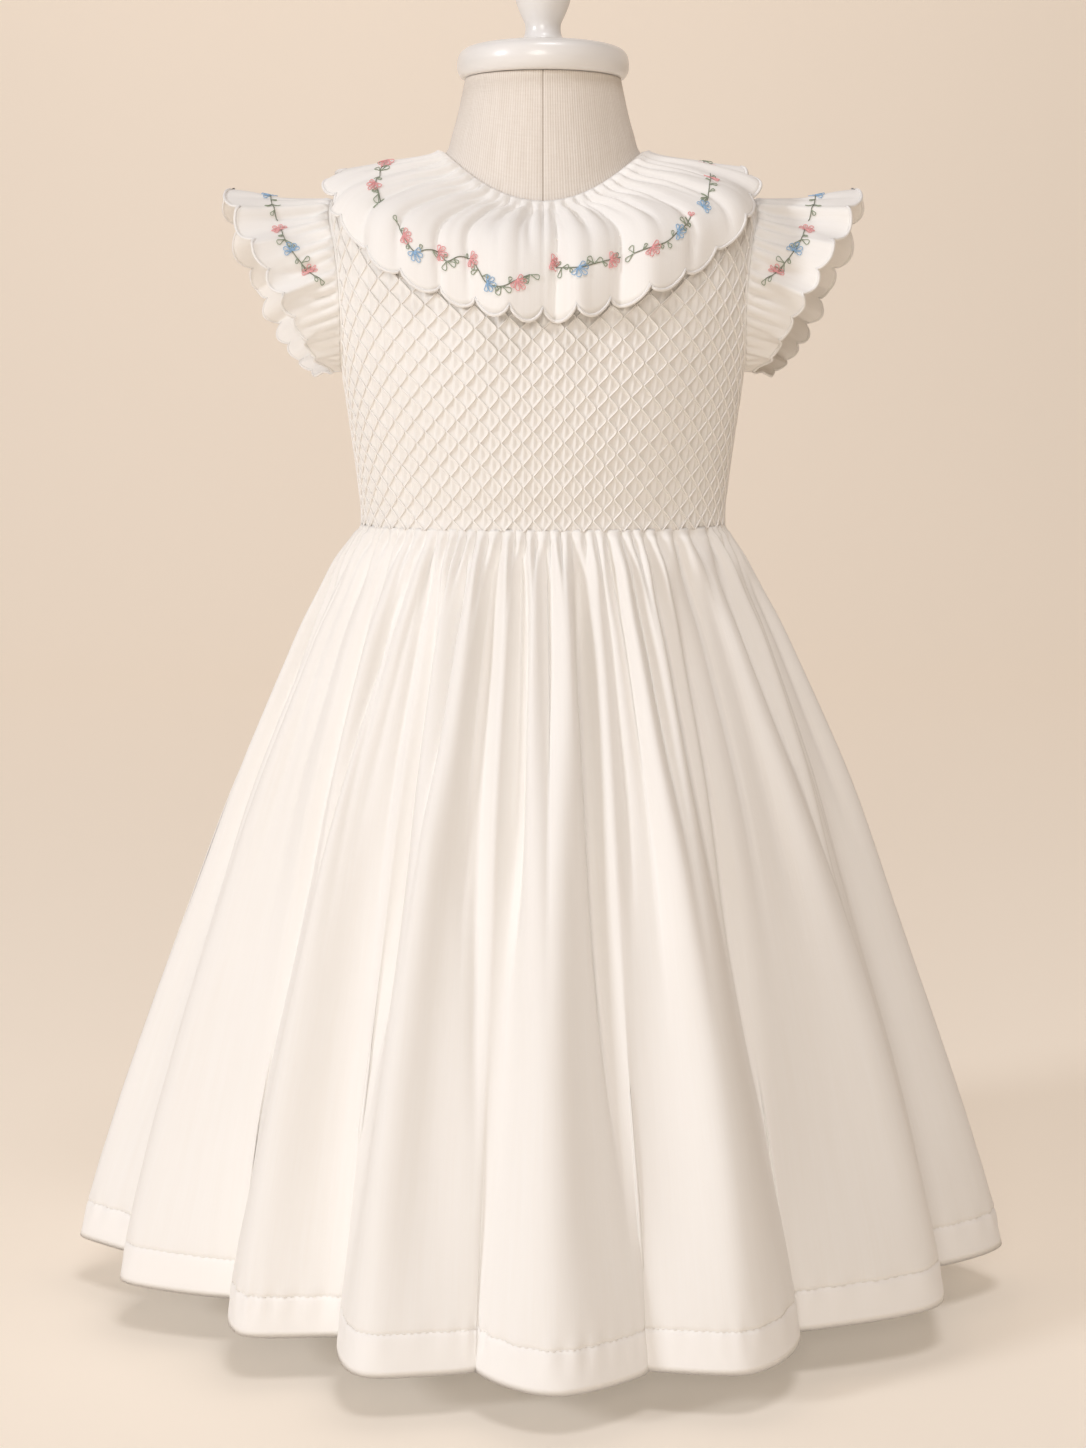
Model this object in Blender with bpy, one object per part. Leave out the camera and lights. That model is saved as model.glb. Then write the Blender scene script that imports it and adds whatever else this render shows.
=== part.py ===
"""A child's embroidered dress with its limbless dress form.

Units are metres and +Z is up. The front of the dress faces -Y, and the origin
is the middle of the stand's underside. Angles on the body start at the wearer's
left side (+X) and are negative towards the front; bearings on the skirt start
at the front and are positive towards +X.
"""

import math
from collections import namedtuple

import bmesh
import bpy
from mathutils import Vector

# Cloth and clearances
CLOTH = 0.0012
SEAM_GAP = 0.0003
FORM_GAP = 0.0009
HALF_TURN = math.pi

# Dress form: a row for each section of the body, from the hips up
Ring = namedtuple("Ring", "name z_side z_front z_back half_width depth_front depth_back square")
BODY = (
    Ring("hip end", 0.3000, 0.3000, 0.3000, 0.0990, 0.0830, 0.0850, 2.2),
    Ring("hip", 0.3600, 0.3600, 0.3600, 0.0975, 0.0805, 0.0820, 2.2),
    Ring("waist", 0.4157, 0.4157, 0.4157, 0.0930, 0.0760, 0.0715, 2.2),
    Ring("ribs", 0.4394, 0.4394, 0.4394, 0.0945, 0.0790, 0.0725, 2.2),
    Ring("lower chest", 0.4656, 0.4656, 0.4656, 0.0978, 0.0825, 0.0745, 2.3),
    Ring("underarm", 0.4959, 0.4959, 0.4959, 0.1018, 0.0850, 0.0765, 2.4),
    Ring("armhole middle", 0.5310, 0.5260, 0.5290, 0.1044, 0.0842, 0.0778, 2.6),
    Ring("upper chest", 0.5600, 0.5450, 0.5530, 0.1062, 0.0798, 0.0770, 2.6),
    Ring("shoulder tip", 0.5835, 0.5580, 0.5710, 0.1058, 0.0730, 0.0715, 2.4),
    Ring("shoulder middle", 0.5965, 0.5670, 0.5855, 0.0830, 0.0610, 0.0590, 2.2),
    Ring("neckline", 0.6055, 0.5755, 0.5985, 0.0540, 0.0485, 0.0455, 2.0),
    Ring("neck", 0.6200, 0.6030, 0.6150, 0.0465, 0.0435, 0.0420, 2.0),
    Ring("neck top", 0.6455, 0.6455, 0.6455, 0.0404, 0.0385, 0.0385, 2.0),
)
WAIST, UNDERARM, SHOULDER, NECKLINE, NECK_TOP = 2, 5, 8, 10, 12
FORM_COLUMNS = 30
FORM_ROWS = (0, 1, 2, 3, 4, 5, 6, 7, 7.5, 8, 8.4, 9, 9.5, 10, 10.3, 11, 12)
EVEN_SPACING = 0.0687  # turns equal angles into equal widths on the oval chest

# Bodice
ARMHOLE_HALF_ANGLE = math.radians(24)
LATTICE_COLUMNS = 52  # half diamonds across the front
LATTICE_ROWS = 27  # half diamonds from the waist to the shoulder tip
LATTICE_RELIEF = 0.0010
LATTICE_LINE = math.radians(-60)  # the rows are evenly spaced along this line
BODICE_TOP = 9.9
BODICE_YOKE = (8.25, 8.55, 9.0, 9.45, BODICE_TOP)
INNER_EVERY = 5
INNER_EVERY_ARMHOLE = 2
INNER_LAST = 3  # lattice rows below the shoulder tip that the plain walls all keep
BACK_COLUMNS = 13

# Back closing
PLACKET_WIDTH = 0.016
PLACKET_THICK = 0.0010
BUTTON_RADIUS = 0.0055
BUTTON_THICK = 0.0024
BUTTON_BEVEL = 0.0007
BUTTON_SIDES = 12
BUTTON_PLACES = (6.0, 5.05, 4.1, 3.15)

# Collar ruffle
COLLAR_SCALLOPS = 28
COLLAR_STEPS = 4  # columns in a scallop
COLLAR_WAVES = 21
COLLAR_WAVE_DEPTH = 0.0065
COLLAR_GATHER_DEPTH = 0.0009
COLLAR_SCALLOP_DEPTH = 0.09
COLLAR_SLIT = math.radians(0.8)
COLLAR_ROOT = 10.22
COLLAR_EDGE_SIDE, COLLAR_EDGE_FRONT, COLLAR_EDGE_BACK = 8.12, 5.72, 6.45
COLLAR_FAN = 1.5
COLLAR_SIDE_LIFT = 0.0020
Step = namedtuple("Step", "name share height gather")
COLLAR_STEPS_OUT = (
    Step("neck edge", 0.00, 0.0009, 0.0),
    Step("gather line", 0.07, 0.0036, 0.6),
    Step("upper", 0.32, 0.0046, 1.0),
    Step("lower", 0.66, 0.0056, 0.2),
    Step("edge", 1.00, 0.0056, 0.0),
)

# Flutter sleeves: a row for each place from the shoulder down to the underarm
Reach = namedtuple("Reach", "name down width flare lift")
SLEEVE_EDGE = (
    Reach("shoulder", 0.000, 0.0570, 0.000, 0.0035),
    Reach("first scallop", 0.143, 0.0520, 0.004, 0.0015),
    Reach("second scallop", 0.286, 0.0455, 0.007, 0.0000),
    Reach("third scallop", 0.429, 0.0370, 0.009, -0.0010),
    Reach("fourth scallop", 0.571, 0.0285, 0.009, 0.0000),
    Reach("fifth scallop", 0.714, 0.0195, 0.008, 0.0010),
    Reach("sixth scallop", 0.857, 0.0125, 0.006, 0.0010),
    Reach("underarm", 1.000, 0.0050, 0.003, 0.0010),
)
SLEEVE_BACK_EXTRA = 0.006  # the back half reaches a little further than the front half
SLEEVE_ROOT_HEIGHT = 0.0035
SLEEVE_ROOT_SCALE = 0.99
SLEEVE_DROOP = 0.75  # below 1 the folds run down as they run out
SLEEVE_SCALLOPS = 14
SLEEVE_STEPS = 4
SLEEVE_WAVES = 7
SLEEVE_WAVE_DEPTH = 0.0075
SLEEVE_SCALLOP_DEPTH = 0.10
SLEEVE_SHARES = (0.0, 0.22, 0.6, 1.0)

# Skirt: a row for each level from the waist seam to the hem
Level = namedtuple("Level", "name share half_width gather")
SKIRT_FINE_LEVELS = (
    Level("waist seam", 0.000, 0.0962, 0.0005),
    Level("gathers swell", 0.012, 0.0995, 0.0011),
    Level("gathers", 0.040, 0.1085, 0.0014),
    Level("gathers fade", 0.085, 0.1166, 0.0012),
    Level("gathers end", 0.130, 0.1249, 0.0006),
)
SKIRT_COARSE_LEVELS = (
    Level("seat", 0.240, 0.1415, 0.0),
    Level("thigh", 0.344, 0.1575, 0.0),
    Level("knee", 0.477, 0.1736, 0.0),
    Level("middle", 0.6185, 0.1918, 0.0),
    Level("lower", 0.750, 0.2089, 0.0),
    Level("low", 0.860, 0.2225, 0.0),
    Level("hem stitch", 0.949, 0.2337, 0.0),
    Level("hem", 1.000, 0.2390, 0.0),
)
HEM_STITCH = 0.949
HEM_STEP = 0.002
SKIRT_TOP = BODY[WAIST].z_side - SEAM_GAP
SKIRT_DEPTH = 0.83  # depth over half width
SKIRT_ROUND_TOP, SKIRT_ROUND_HEM = 2.15, 1.75
FOLD_COLUMNS = 6
FOLD_GROWTH = 1.1
FOLD_PINCH, FOLD_STEEP = 0.055, 0.020
# A row for each hanging fold, by the bearing and reach of its crest and of the
# valley after it, and the height of the hem there
Fold = namedtuple("Fold", "name crest crest_reach valley valley_reach hem_height")
FOLDS = (
    Fold("right side", -90, 0.2550, -81, 0.2150, 0.0270),
    Fold("front 1", -72, 0.2320, -58, 0.1830, 0.0265),
    Fold("front 2", -47, 0.2060, -34, 0.1730, 0.0240),
    Fold("front 3", -24, 0.2080, -10, 0.1850, 0.0220),
    Fold("front 4", 2.5, 0.2110, 15, 0.1880, 0.0210),
    Fold("front 5", 28, 0.2110, 41, 0.1850, 0.0220),
    Fold("front 6", 64, 0.2270, 76, 0.2140, 0.0250),
    Fold("left side", 88, 0.2515, 99, 0.2140, 0.0260),
    Fold("back 1", 111, 0.2330, 123, 0.1900, 0.0245),
    Fold("back 2", 135, 0.2130, 147, 0.1850, 0.0225),
    Fold("back 3", 158, 0.2110, 170, 0.1830, 0.0215),
    Fold("back 4", 181, 0.2080, 193, 0.1810, 0.0220),
    Fold("back 5", 204, 0.2110, 216, 0.1850, 0.0225),
    Fold("back 6", 227, 0.2180, 239, 0.1910, 0.0240),
    Fold("back 7", 250, 0.2340, 260, 0.2130, 0.0255),
)
LEFT_SEAM_FOLD = 7

# Stand, cap and knob
BASE_RADIUS, BASE_THICK, BASE_BEVEL = 0.100, 0.012, 0.003
POLE_RADIUS = 0.008
POLE_BOTTOM = BASE_THICK + SEAM_GAP
CAP_BOTTOM = BODY[NECK_TOP].z_side + SEAM_GAP
CAP_PROFILE = ((0.0400, 0.0), (0.0432, 0.0014), (0.0445, 0.0052), (0.0440, 0.0105), (0.0405, 0.0150),
               (0.0300, 0.0172), (0.0, 0.0180))
KNOB_PROFILE = ((0.0115, 0.0), (0.0098, 0.0040), (0.0092, 0.0080), (0.0110, 0.0130), (0.0138, 0.0200),
                (0.0150, 0.0280), (0.0140, 0.0360), (0.0105, 0.0425), (0.0055, 0.0460), (0.0, 0.0470))
CAP_HEIGHT = 0.0180
TURNED_COLUMNS = 20


def clear_scene():
    """Remove whatever the scene holds."""
    for item in list(bpy.data.objects):
        bpy.data.objects.remove(item)


def material(name, color, roughness):
    """A Principled material of one colour."""
    made = bpy.data.materials.new(name)
    made.use_nodes = True
    shader = made.node_tree.nodes["Principled BSDF"]
    shader.inputs["Base Color"].default_value = (*color, 1.0)
    shader.inputs["Roughness"].default_value = roughness
    shader.inputs["Metallic"].default_value = 0.0
    return made


def finish(bm, name, look):
    """Turn a bmesh into a named, smooth-shaded object."""
    bmesh.ops.remove_doubles(bm, verts=bm.verts, dist=1e-6)
    bmesh.ops.recalc_face_normals(bm, faces=bm.faces)
    mesh = bpy.data.meshes.new(name)
    bm.to_mesh(mesh)
    bm.free()
    mesh.shade_smooth()
    mesh.materials.append(look)
    made = bpy.data.objects.new(name, mesh)
    bpy.context.collection.objects.link(made)
    return made


def smooth_value(values, place):
    """Read a row of values at a real-numbered place, smoothly."""
    last = len(values) - 1
    place = min(max(place, 0.0), float(last))
    start = min(int(place), last - 1)
    along = place - start
    before, a, b, after = (values[min(max(start + k, 0), last)] for k in (-1, 0, 1, 2))
    return 0.5 * (2 * a + (b - before) * along + (2 * before - 5 * a + 4 * b - after) * along ** 2
                  + (3 * a - before - 3 * b + after) * along ** 3)


def straight_value(pairs, place):
    """Read a value from (place, value) pairs, straight between them."""
    for (start, a), (end, b) in zip(pairs, pairs[1:]):
        if place <= end:
            return a + (b - a) * (place - start) / (end - start)
    return pairs[-1][1]


def body_value(column, place):
    """One measure of the body at a real-numbered ring."""
    return smooth_value([getattr(ring, column) for ring in BODY], place)


def body_point(angle, place):
    """A point on the dress form."""
    c, s = math.cos(angle), math.sin(angle)
    square = body_value("square", place)
    stretch = (abs(c) ** square + abs(s) ** square) ** (-1 / square)
    facing = "front" if s < 0 else "back"
    depth = body_value("depth_" + facing, place)
    z_side = body_value("z_side", place)
    z = z_side + (body_value("z_" + facing, place) - z_side) * s * s
    return Vector((body_value("half_width", place) * c * stretch, depth * s * stretch, z))


def moved_out(surface, a, b, distance):
    """A point of a surface moved along its normal."""
    step = 1e-3
    along_a = surface(a + step, b) - surface(a - step, b)
    along_b = surface(a, b + step) - surface(a, b - step)
    return surface(a, b) + along_a.cross(along_b).normalized() * distance


def body_out(angle, place, distance):
    """A point a given distance outside the dress form."""
    return moved_out(body_point, angle, place, distance)


def even_angle(angle):
    """Spread columns evenly round the oval chest."""
    return angle + EVEN_SPACING * math.sin(2 * angle)


def ring_at_height(height):
    """The real-numbered ring whose side is at a height."""
    low, high = float(UNDERARM), float(SHOULDER)
    for _ in range(40):
        middle = (low + high) / 2
        if body_value("z_side", middle) < height:
            low = middle
        else:
            high = middle
    return (low + high) / 2


ARMHOLE_MIDDLE = (BODY[UNDERARM].z_side + BODY[SHOULDER].z_side) / 2
ARMHOLE_HALF_HEIGHT = (BODY[SHOULDER].z_side - BODY[UNDERARM].z_side) / 2


def armhole_half_angle(place):
    """Half the armhole's width at a ring, as an angle from the side."""
    if not UNDERARM < place < SHOULDER:
        return 0.0
    rise = (body_value("z_side", place) - ARMHOLE_MIDDLE) / ARMHOLE_HALF_HEIGHT
    return ARMHOLE_HALF_ANGLE * math.sqrt(max(0.0, 1 - rise * rise))


def seam_angle(place):
    """The angle that a panel keeps from the side at a ring."""
    seam = SEAM_GAP / 2 / body_value("depth_front", place)
    return max(seam, armhole_half_angle(place))


def lattice_places():
    """Rings of the lattice rows, evenly spaced along one line of the front."""
    steps = 400
    places = [WAIST + (SHOULDER - WAIST) * k / steps for k in range(steps + 1)]
    points = [body_point(LATTICE_LINE, place) for place in places]
    lengths = [0.0]
    for before, after in zip(points, points[1:]):
        lengths.append(lengths[-1] + (after - before).length)
    pairs = list(zip(lengths, places))
    return [straight_value(pairs, lengths[-1] * row / LATTICE_ROWS) for row in range(LATTICE_ROWS + 1)]


def inner_lattice_rows():
    """The lattice rows that a plain wall keeps, closer together beside the armholes."""
    places = lattice_places()
    rows = [k for k in range(0, LATTICE_ROWS + 1, INNER_EVERY) if places[k] < UNDERARM]
    first = next(k for k, place in enumerate(places) if place >= UNDERARM)
    rows += list(range(first, LATTICE_ROWS - INNER_LAST, INNER_EVERY_ARMHOLE))
    rows += list(range(LATTICE_ROWS - INNER_LAST, LATTICE_ROWS + 1))
    return [places[k] for k in rows]


def arc_shares(chain):
    """Each vertex's share of the length along a chain."""
    lengths = [0.0]
    for before, after in zip(chain, chain[1:]):
        lengths.append(lengths[-1] + (after.co - before.co).length)
    return [length / lengths[-1] for length in lengths]


def zip_chains(bm, first, second, shares=None):
    """Join two chains of vertices with triangles."""
    a, b = shares or (arc_shares(first), arc_shares(second))
    i = j = 0
    while i < len(first) - 1 or j < len(second) - 1:
        if j == len(second) - 1 or (i < len(first) - 1 and a[i + 1] <= b[j + 1]):
            add_face(bm, (first[i], first[i + 1], second[j]))
            i += 1
        else:
            add_face(bm, (first[i], second[j + 1], second[j]))
            j += 1


def add_face(bm, corners):
    """Add a face unless its corners fall together."""
    kept = [v for k, v in enumerate(corners) if (v.co - corners[k - 1].co).length > 1e-6]
    if len(kept) > 2 and len(set(kept)) == len(kept):
        bm.faces.new(kept)


def skin(bm, rows, ridged=False):
    """Fill the faces between rows of vertices; ridged splits each quad along its crossings."""
    for r, (low, high) in enumerate(zip(rows, rows[1:])):
        if len(low) != len(high):
            shares = [[k / (len(row) - 1) for k in range(len(row))] for row in (low, high)]
            zip_chains(bm, low, high, shares)
            continue
        for c in range(len(low) - 1):
            a, b, d, e = low[c], low[c + 1], high[c + 1], high[c]
            if not ridged:
                add_face(bm, (a, b, d, e))
            elif (r + c) % 2 == 0:
                add_face(bm, (a, b, d))
                add_face(bm, (a, d, e))
            else:
                add_face(bm, (a, b, e))
                add_face(bm, (b, d, e))


def vertex_rows(bm, rows):
    """Make a vertex of each point, once for points that fall together in a row."""
    made = []
    for row in rows:
        verts = []
        for point in row:
            same = verts and (verts[-1].co - point).length < 1e-6
            verts.append(verts[-1] if same else bm.verts.new(point))
        made.append(verts)
    return made


def cloth_wall(name, look, outer, inner, ridged=False):
    """A closed wall between an outer and an inner grid of points."""
    bm = bmesh.new()
    out_rows, in_rows = vertex_rows(bm, outer), vertex_rows(bm, inner)
    skin(bm, out_rows, ridged)
    skin(bm, in_rows)
    for edge in (0, -1):
        zip_chains(bm, out_rows[edge], in_rows[edge])
        zip_chains(bm, [row[edge] for row in out_rows], [row[edge] for row in in_rows])
    return finish(bm, name, look)


def panel_angle(start, end, share, place):
    """The angle of a column that stops at the side seams and armholes."""
    angle = even_angle(start + (end - start) * share)
    keep = seam_angle(place)
    near_right = -HALF_TURN if angle < 0 else HALF_TURN
    if abs(angle) < keep:
        return math.copysign(keep, start + end), True
    if abs(angle - near_right) < keep:
        return near_right - math.copysign(keep, near_right), True
    return angle, False


def bodice_front(look):
    """The smocked front, with its lattice raised over a plain inside."""
    places = lattice_places()
    outer = []
    for r, place in enumerate(places):
        row = []
        for c in range(LATTICE_COLUMNS + 1):
            angle, at_edge = panel_angle(-HALF_TURN, 0, c / LATTICE_COLUMNS, place)
            crossing = (r + c) % 2 == 0
            relief = 0.5 if at_edge else float(crossing)
            if r in (0, LATTICE_ROWS):
                relief = 0.0
            height = FORM_GAP + CLOTH + LATTICE_RELIEF * relief
            row.append(body_out(angle, place, height))
        outer.append(row)
    half = LATTICE_COLUMNS // 2
    inner = []
    for place in inner_lattice_rows() + list(BODICE_YOKE):
        angles = [panel_angle(-HALF_TURN, 0, c / half, place)[0] for c in range(half + 1)]
        inner.append([body_out(angle, place, FORM_GAP) for angle in angles])
        if place > SHOULDER:
            outer.append([body_out(angle, place, FORM_GAP + CLOTH) for angle in angles])
    return cloth_wall("bodice_front", look, outer, inner, ridged=True)


def bodice_back(name, look, start, end):
    """One plain half of the back, between the side and the centre back."""
    walls = [[], []]
    for place in inner_lattice_rows() + list(BODICE_YOKE):
        centre = SEAM_GAP / 2 / body_value("half_width", place)
        low = start + (centre if start > 0 else 0.0)
        high = end - (centre if end < HALF_TURN else 0.0)
        angles = [panel_angle(low, high, c / BACK_COLUMNS, place)[0] for c in range(BACK_COLUMNS + 1)]
        for wall, height in zip(walls, (FORM_GAP + CLOTH, FORM_GAP)):
            wall.append([body_out(angle, place, height) for angle in angles])
    return cloth_wall(name, look, *walls)


def placket(look):
    """The strip that covers the closing edges at the centre back."""
    low = FORM_GAP + CLOTH + SEAM_GAP
    walls = [[], []]
    for place in inner_lattice_rows() + list(BODICE_YOKE):
        half = PLACKET_WIDTH / 2 / body_value("half_width", place)
        for wall, height in zip(walls, (low + PLACKET_THICK, low)):
            wall.append([body_out(HALF_TURN / 2 + half * side, place, height) for side in (-1, 0, 1)])
    return cloth_wall("back_placket", look, *walls)


def button(name, look, place):
    """A round button on the placket."""
    height = FORM_GAP + CLOTH + PLACKET_THICK + 3 * SEAM_GAP + BUTTON_THICK / 2
    centre = body_out(HALF_TURN / 2, place, height)
    outwards = (centre - body_out(HALF_TURN / 2, place, 0)).normalized()
    bm = bmesh.new()
    bmesh.ops.create_cone(bm, cap_ends=True, segments=BUTTON_SIDES, radius1=BUTTON_RADIUS,
                          radius2=BUTTON_RADIUS, depth=BUTTON_THICK)
    rim = [edge for edge in bm.edges if edge.calc_face_angle() > 1]
    bmesh.ops.bevel(bm, geom=rim, offset=BUTTON_BEVEL, affect="EDGES", segments=1, profile=0.5, material=-1)
    turn = Vector((0, 0, 1)).rotation_difference(outwards).to_matrix()
    bmesh.ops.rotate(bm, verts=bm.verts, cent=(0, 0, 0), matrix=turn)
    bmesh.ops.translate(bm, verts=bm.verts, vec=centre)
    return finish(bm, name, look)


def scallop(share):
    """A scallop's outline, from 0 at its ends to 1 at its middle."""
    return abs(math.sin(HALF_TURN * share)) ** 0.6


def uneven(number):
    """A repeatable value from -1 to 1 for a numbered fold."""
    return math.sin(number * 12.9898 + 4.1) * 0.6 + math.sin(number * 3.117) * 0.4


def collar_point(angle, share, height):
    """A point of the collar over the bodice."""
    s = math.sin(angle)
    end = COLLAR_EDGE_FRONT if s < 0 else COLLAR_EDGE_BACK
    edge = COLLAR_EDGE_SIDE + (end - COLLAR_EDGE_SIDE) * abs(s) ** COLLAR_FAN
    place = COLLAR_ROOT + (edge - COLLAR_ROOT) * share
    wave = math.sin(COLLAR_WAVES * angle + 0.9 * math.sin(2 * angle) + 0.4)
    beside = (1 - abs(s)) ** 2
    lift = COLLAR_WAVE_DEPTH * (0.5 + 0.5 * wave) * share ** 1.3 * (1 - 0.6 * beside)
    return body_out(angle, place, height + lift + COLLAR_SIDE_LIFT * beside * share)


def collar_ruffle(look):
    """One gathered ruffle round the neck, open at the centre back."""
    columns = COLLAR_SCALLOPS * COLLAR_STEPS
    start = HALF_TURN / 2 + COLLAR_SLIT
    sweep = 2 * HALF_TURN - 2 * COLLAR_SLIT
    walls = [[], []]
    for step in COLLAR_STEPS_OUT:
        rows = [[], []]
        for c in range(columns + 1):
            angle = even_angle(start + sweep * c / columns)
            inwards = COLLAR_SCALLOP_DEPTH * (1 - scallop(c / COLLAR_STEPS)) * step.share ** 3
            gather = COLLAR_GATHER_DEPTH * step.gather * (c % 2) * (0.75 + 0.25 * uneven(c))
            for row, thick in zip(rows, (CLOTH, 0.0)):
                row.append(collar_point(angle, step.share - inwards, step.height + gather + thick))
        for wall, row in zip(walls, rows):
            wall.append(row)
    return cloth_wall("collar_ruffle", look, *walls)


def sleeve_root(down, side):
    """A point of the sleeve's seam; side is -1 in front and 1 behind."""
    turn = HALF_TURN * down
    height = ARMHOLE_MIDDLE + ARMHOLE_HALF_HEIGHT * math.cos(turn) * SLEEVE_ROOT_SCALE
    angle = side * ARMHOLE_HALF_ANGLE * SLEEVE_ROOT_SCALE * math.sin(turn)
    return body_out(angle, ring_at_height(height), SLEEVE_ROOT_HEIGHT)


def sleeve_point(along, share):
    """A point of the left sleeve; along runs from -1, front underarm, to 1, back underarm."""
    side = -1 if along < 0 else 1
    down = min(abs(along), 1.0)
    lower = down ** SLEEVE_DROOP
    measures = {column: straight_value([(row.down, getattr(row, column)) for row in SLEEVE_EDGE], lower)
                for column in ("width", "flare", "lift")}
    extra = SLEEVE_BACK_EXTRA * math.sin(HALF_TURN * lower) if side > 0 else 0.0
    reach = Vector((measures["width"] + extra, side * (measures["flare"] + extra), measures["lift"] - extra))
    root, edge = sleeve_root(down, side), sleeve_root(lower, side) + reach
    return root.lerp(edge, share)


def sleeve(name, look, mirror):
    """One flutter sleeve, a gathered scalloped ruffle round the armhole."""
    columns = SLEEVE_SCALLOPS * SLEEVE_STEPS
    walls = [[], []]
    for share in SLEEVE_SHARES:
        rows = [[], []]
        for c in range(columns + 1):
            along = 0.985 * (2 * c / columns - 1)
            wave = math.sin(HALF_TURN * 2 * SLEEVE_WAVES * (c / columns) + 0.5 * uneven(c // 8))
            narrow = math.cos(HALF_TURN / 2 * along) ** 0.5
            inwards = SLEEVE_SCALLOP_DEPTH * (1 - scallop(c / SLEEVE_STEPS)) * share ** 3
            lift = SLEEVE_WAVE_DEPTH / 2 * wave * share * narrow
            for row, half in zip(rows, (CLOTH / 2, -CLOTH / 2)):
                point = moved_out(sleeve_point, along, share - inwards, lift + half)
                row.append(Vector((point.x * mirror, point.y, point.z)))
        for wall, row in zip(walls, rows):
            wall.append(row)
    return cloth_wall(name, look, *walls)


def skirt_round(bearing, half_width, square):
    """The reach of the skirt's plain section at a bearing."""
    across = abs(math.sin(bearing)) / half_width
    deep = abs(math.cos(bearing)) / (half_width * SKIRT_DEPTH)
    return (across ** square + deep ** square) ** (-1 / square)


def skirt_point(fold_place, share):
    """A point of the skirt; fold_place counts folds and share runs from waist to hem."""
    number = math.floor(fold_place)
    phase = fold_place - number
    fold = FOLDS[number % len(FOLDS)]
    after = FOLDS[(number + 1) % len(FOLDS)]
    turns = number // len(FOLDS) * 360
    next_crest = after.crest + (360 if (number + 1) % len(FOLDS) == 0 else 0)
    ease = (1 - math.cos(2 * HALF_TURN * phase)) / 2
    if phase < 0.5:
        bearing = fold.crest + (fold.valley - fold.crest) * phase * 2
        reach = fold.crest_reach + (fold.valley_reach - fold.crest_reach) * ease
    else:
        bearing = fold.valley + (next_crest - fold.valley) * (phase * 2 - 1)
        reach = after.crest_reach + (fold.valley_reach - after.crest_reach) * ease
    hem = fold.hem_height + (after.hem_height - fold.hem_height) * phase
    growth = share ** FOLD_GROWTH if share > 0 else 0.0
    width = next_crest - fold.crest
    pinch = FOLD_PINCH * math.sin(2 * HALF_TURN * phase) - FOLD_STEEP * math.sin(4 * HALF_TURN * phase)
    bearing = math.radians(bearing + turns + width * pinch * growth)
    square = SKIRT_ROUND_TOP + (SKIRT_ROUND_HEM - SKIRT_ROUND_TOP) * share
    levels = [(level.share, level.half_width) for level in SKIRT_FINE_LEVELS + SKIRT_COARSE_LEVELS]
    plain = skirt_round(bearing, straight_value(levels, share), square)
    at_hem = skirt_round(bearing, SKIRT_COARSE_LEVELS[-1].half_width, SKIRT_ROUND_HEM)
    radius = plain + growth * (reach - at_hem)
    z = SKIRT_TOP + (hem - SKIRT_TOP) * share
    return Vector((radius * math.sin(bearing), -radius * math.cos(bearing), z))


def skirt_out(fold_place, share, distance):
    """A skirt point moved sideways, out of the cloth."""
    step = 1e-3
    along = skirt_point(fold_place + step, share) - skirt_point(fold_place - step, share)
    outwards = Vector((along.y, -along.x, 0)).normalized()
    return skirt_point(fold_place, share) + outwards * distance


def skirt_panel(name, look, first_fold, last_fold):
    """A panel of the skirt, gathered at the waist and hemmed below."""
    columns = (last_fold - first_fold) * FOLD_COLUMNS
    seam = SEAM_GAP / 2 / 0.09 / math.radians(20)

    def place(c, count):
        at_seam = seam if c == 0 else -seam if c == count else 0.0
        return first_fold + (last_fold - first_fold) * c / count + at_seam

    outer = []
    for level in SKIRT_FINE_LEVELS:
        fine = 2 * columns
        swings = [(c % 2 - 0.5) * (1 + 0.35 * uneven(c)) * 2 for c in range(fine + 1)]
        outer.append([skirt_out(place(c, fine), level.share, level.gather * swings[c]) for c in range(fine + 1)])
    for level in SKIRT_COARSE_LEVELS:
        outer.append([skirt_out(place(c, columns), level.share, 0.0) for c in range(columns + 1)])
    inner_levels = [(level.share, level.gather * 1.3 + CLOTH) for level in SKIRT_FINE_LEVELS[::2]]
    inner_levels += [(level.share, CLOTH) for level in SKIRT_COARSE_LEVELS[:-2]]
    inner_levels += [(HEM_STITCH - HEM_STEP, CLOTH), (HEM_STITCH, 2 * CLOTH), (1.0, 2 * CLOTH)]
    inner = [[skirt_out(place(c, columns), share, -depth) for c in range(columns + 1)]
             for share, depth in inner_levels]
    return cloth_wall(name, look, outer, inner)


def form_torso(look):
    """The limbless torso with its neck, closed at the hip and at the neck's top."""
    bm = bmesh.new()
    rings = []
    for place in FORM_ROWS:
        angles = [even_angle(2 * HALF_TURN * c / FORM_COLUMNS) for c in range(FORM_COLUMNS)]
        rings.append([bm.verts.new(body_point(angle, place)) for angle in angles])
    for low, high in zip(rings, rings[1:]):
        for c in range(FORM_COLUMNS):
            after = (c + 1) % FORM_COLUMNS
            bm.faces.new((low[c], low[after], high[after], high[c]))
    bm.faces.new(rings[0])
    bm.faces.new(rings[-1])
    return finish(bm, "form_torso", look)


def turned(name, look, profile, bottom):
    """A solid turned about the upright axis from a profile that ends on the axis."""
    bm = bmesh.new()
    verts = [bm.verts.new((0, 0, bottom + profile[0][1]))]
    verts += [bm.verts.new((radius, 0, bottom + height)) for radius, height in profile]
    edges = [bm.edges.new(pair) for pair in zip(verts, verts[1:])]
    bmesh.ops.spin(bm, geom=verts + edges, cent=(0, 0, 0), axis=(0, 0, 1), angle=2 * HALF_TURN,
                   steps=TURNED_COLUMNS, use_merge=True)
    return finish(bm, name, look)


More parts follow.
